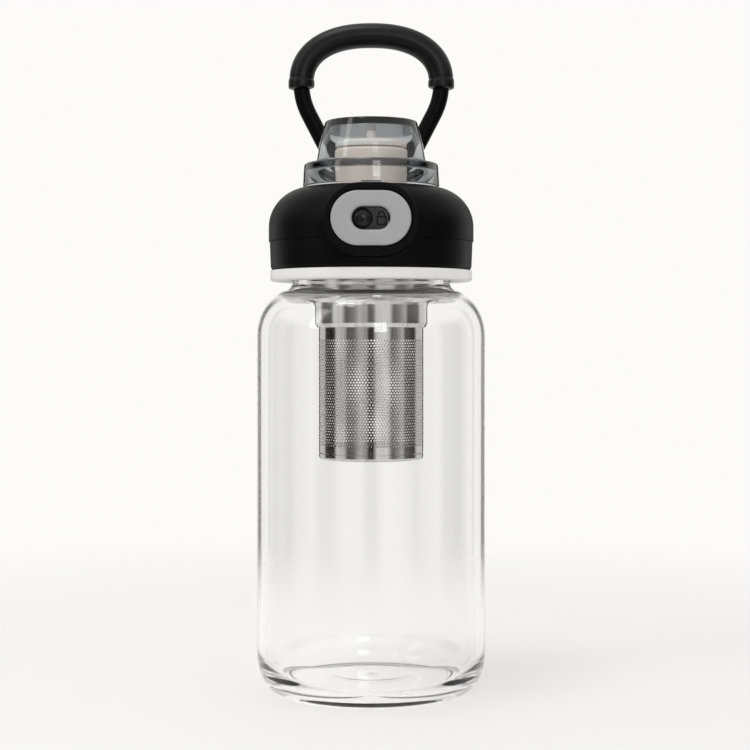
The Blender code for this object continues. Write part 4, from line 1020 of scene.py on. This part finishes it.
def spaced(points, pitch):
    # The same path with its points at even distances
    lengths = [0]
    for one, two in zip(points, points[1:]):
        lengths.append(lengths[-1] + (two - one).length)
    count = round(lengths[-1] / pitch)
    even, seat = [], 0
    for i in range(count + 1):
        target = lengths[-1] * i / count
        while seat < len(points) - 2 and lengths[seat + 1] < target:
            seat += 1
        span = lengths[seat + 1] - lengths[seat]
        share = (target - lengths[seat]) / span if span else 0
        even.append(points[seat].lerp(points[seat + 1], share))
    return even, lengths[-1]


def makeHandle():
    path = spaced(handleLeg(1) + handleArch() + handleLeg(-1)[::-1], handle["pitch"])[0]
    bar = swept("handleBar", path, [handle["bar"]] * len(path))
    top = hinge["z"] + handle["footRise"] + handle["bar"] / 2
    inset = handle["bar"] - handle["eyeletInset"]
    outline = roundOutline(hinge["eyelet"], 180, 360)
    outline += [(hinge["y"] + inset, top), (hinge["y"] - inset, top)]
    eyelets = onBothSides("eyelet", outline, hinge["eyeletStart"], hinge["eyeletEnd"])
    withBooleans(bar, joins=eyelets)
    settle(bar, satinBlack, "carry_handle", "matte_black", "handle")


def makeGrip():
    foot = boxOf("handle_grip")[0].z + grip["inset"]
    right = [point for point in handleLeg(1) if point.z > foot]
    left = [Vector((-point.x, point.y, point.z)) for point in right]
    path, length = spaced(right + handleArch() + left[::-1], grip["pitch"])
    radii = []
    last = len(path) - 1
    for i in range(len(path)):
        # A lip at each end with a shallow groove beside it; the last millimetre is rounded
        end = length * min(i, last - i) / last
        past = end - grip["lipLength"]
        lip = grip["lip"] / (1 + math.exp(grip["lipSharpness"] * past))
        away = grip["grooveSharpness"] * (past - grip["grooveShift"])
        groove = grip["groove"] * math.exp(-away ** 2)
        rounded = 1 - math.sqrt(max(0, 1 - (1 - min(end, 1)) ** 2))
        radii.append(grip["radius"] + lip - groove - rounded)
    piece = swept("handleGrip", path, radii, grip["sides"])
    settle(piece, gripRubber, "carry_handle", "grip_rubber", "handle_grip")


makeFlipCap()
makeCapSeal()
makeHingePin()
makeHandle()
makeGrip()
print("stage: cap, hinge and handle made")


# Small CAD pieces that keep their shape
carried = {
    paleSilicone: ("infuser_gasket", "lid_gasket", "spout_seal"),
    springSteel: ("cap_spring", "button_spring_right", "button_spring_left", "latch_slide"),
}
for material, nodes in carried.items():
    for node in nodes:
        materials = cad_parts[node].data.materials
        materials.clear()
        materials.append(material)


# Studio
studio = {
    "floorRadius": 1.0, "floorSteps": 96, "fadeStart": 0.16, "fadeEnd": 0.55,
    "white": (0.965, 0.96, 0.95), "floor": (0.96, 0.955, 0.945), "floorRoughness": 0.7,
    "plain": 0.78, "behind": 0.95, "overhead": 0.88, "overheadFrom": 0.2, "overheadTo": 0.45,
    # What mirrors see round the room: degrees from the front towards the right, and level
    "mirror": [
        (-180, 1), (-165, 1), (-162, 0), (-153, 0), (-150, 1), (-125, 0.9), (-115, 0.0),
        (-88, 0.0), (-80, 0.85), (-62, 0.85), (-52, 0.04), (-38, 0.14), (-25, 0.6), (-9, 0.5),
        (-5, 0.04), (4, 0.04), (12, 0.9), (36, 0.9), (46, 0.05), (60, 0.25), (72, 0.6),
        (80, 0.0), (108, 0.0), (118, 0.9), (150, 1), (153, 0), (162, 0), (165, 1), (180, 1),
    ],
    # Each lamp's place, what it points at, its size and its watts
    "lamps": {
        "leftSoftbox": ((-0.95, -0.55, 0.8), (0, 0, 0.15), (0.22, 0.8), 1.35),
        "capStrip": ((0.19, -1.15, 0.5), (0, 0, 0.2), (0.26, 0.36), 1.4),
        "topSoftbox": ((-0.25, -0.2, 1.3), (0, 0, 0.15), (0.35, 0.5), 3),
    },
    "eyeHeight": 0.1465, "distance": 0.708, "sideways": 0.0016, "pitch": 1.28, "lens": 81.6,
    "sensor": 36, "bounces": 24, "mirrorBounces": 10,
}


def makeFloor():
    # A white disc that fades out into the background
    bm = bmesh.new()
    bmesh.ops.create_circle(
        bm, cap_ends=True, segments=studio["floorSteps"], radius=studio["floorRadius"])
    floor = placed("studioFloor", meshOf("studioFloor", bm))
    material, tree, shader = finish("floorWhite", studio["floor"], studio["floorRoughness"])
    own = addNode(tree, "ShaderNodeTexCoord").outputs["Object"]
    away = addNode(tree, "ShaderNodeVectorMath", {0: own}, operation="LENGTH").outputs["Value"]
    fade = smoothStep(tree, away, studio["fadeStart"], studio["fadeEnd"])
    clear = addNode(tree, "ShaderNodeBsdfTransparent").outputs["BSDF"]
    mixed = addNode(tree, "ShaderNodeMixShader", {0: fade, 1: shader.outputs["BSDF"], 2: clear})
    tree.links.new(mixed.outputs[0], tree.nodes["Material Output"].inputs["Surface"])
    floor.data.materials.append(material)


def makeSky():
    # White to the eye; to what mirrors it, a room of pale panels with dark gaps between them
    world = bpy.data.worlds.new("studioSky")
    scene.world = world
    world.use_nodes = True
    tree = world.node_tree

    def blend(share, one, two):
        return addNode(tree, "ShaderNodeMix", {0: share, 2: one, 3: two}).outputs[0]

    facing = addNode(tree, "ShaderNodeTexCoord").outputs["Generated"]
    x, y, z = addNode(tree, "ShaderNodeSeparateXYZ", {0: facing}).outputs
    fromFront = mathsOn(tree, "ARCTAN2", x, mathsOn(tree, "MULTIPLY", y, -1.0))
    turns = mathsOn(tree, "DIVIDE", fromFront, 2 * math.pi)
    room = addNode(tree, "ShaderNodeValToRGB", {"Fac": mathsOn(tree, "ADD", turns, 0.5)})
    while len(room.color_ramp.elements) < len(studio["mirror"]):
        room.color_ramp.elements.new(0.5)
    for stop, (degrees, light) in zip(room.color_ramp.elements, studio["mirror"]):
        stop.position = 0.5 + degrees / 360
        stop.color = (light, light, light, 1)
    overhead = smoothStep(tree, z, studio["overheadFrom"], studio["overheadTo"])
    mirrored = blend(overhead, room.outputs["Color"], studio["overhead"])
    ray = addNode(tree, "ShaderNodeLightPath").outputs
    light = blend(ray["Is Transmission Ray"], studio["plain"], studio["behind"])
    light = blend(mathsOn(tree, "MINIMUM", ray["Glossy Depth"], 1.0), light, mirrored)
    light = blend(ray["Is Camera Ray"], light, 1.0)
    background = tree.nodes["Background"]
    tree.links.new(light, background.inputs["Strength"])
    background.inputs["Color"].default_value = (*studio["white"], 1)


def makeLamp(name, place, target, size, watts):
    light = bpy.data.lights.new(name, "AREA")
    light.shape = "RECTANGLE"
    light.size, light.size_y = size
    light.energy = watts
    lamp = placed(name, light)
    lamp.location = place
    lamp.rotation_euler = (Vector(target) - Vector(place)).to_track_quat("-Z", "Y").to_euler()


def makeCamera():
    lens = bpy.data.cameras.new("studioCamera")
    lens.lens = studio["lens"]
    lens.sensor_width = studio["sensor"]
    camera = placed("studioCamera", lens)
    camera.location = (studio["sideways"], -studio["distance"], studio["eyeHeight"])
    camera.rotation_euler = (math.radians(90 - studio["pitch"]), 0, 0)
    scene.camera = camera


makeFloor()
makeSky()
for lampName, values in studio["lamps"].items():
    makeLamp(lampName, *values)
makeCamera()
scene.view_settings.view_transform = "Standard"
scene.cycles.max_bounces = studio["bounces"]
scene.cycles.transmission_bounces = studio["bounces"]
scene.cycles.glossy_bounces = studio["mirrorBounces"]
print("stage: studio made")
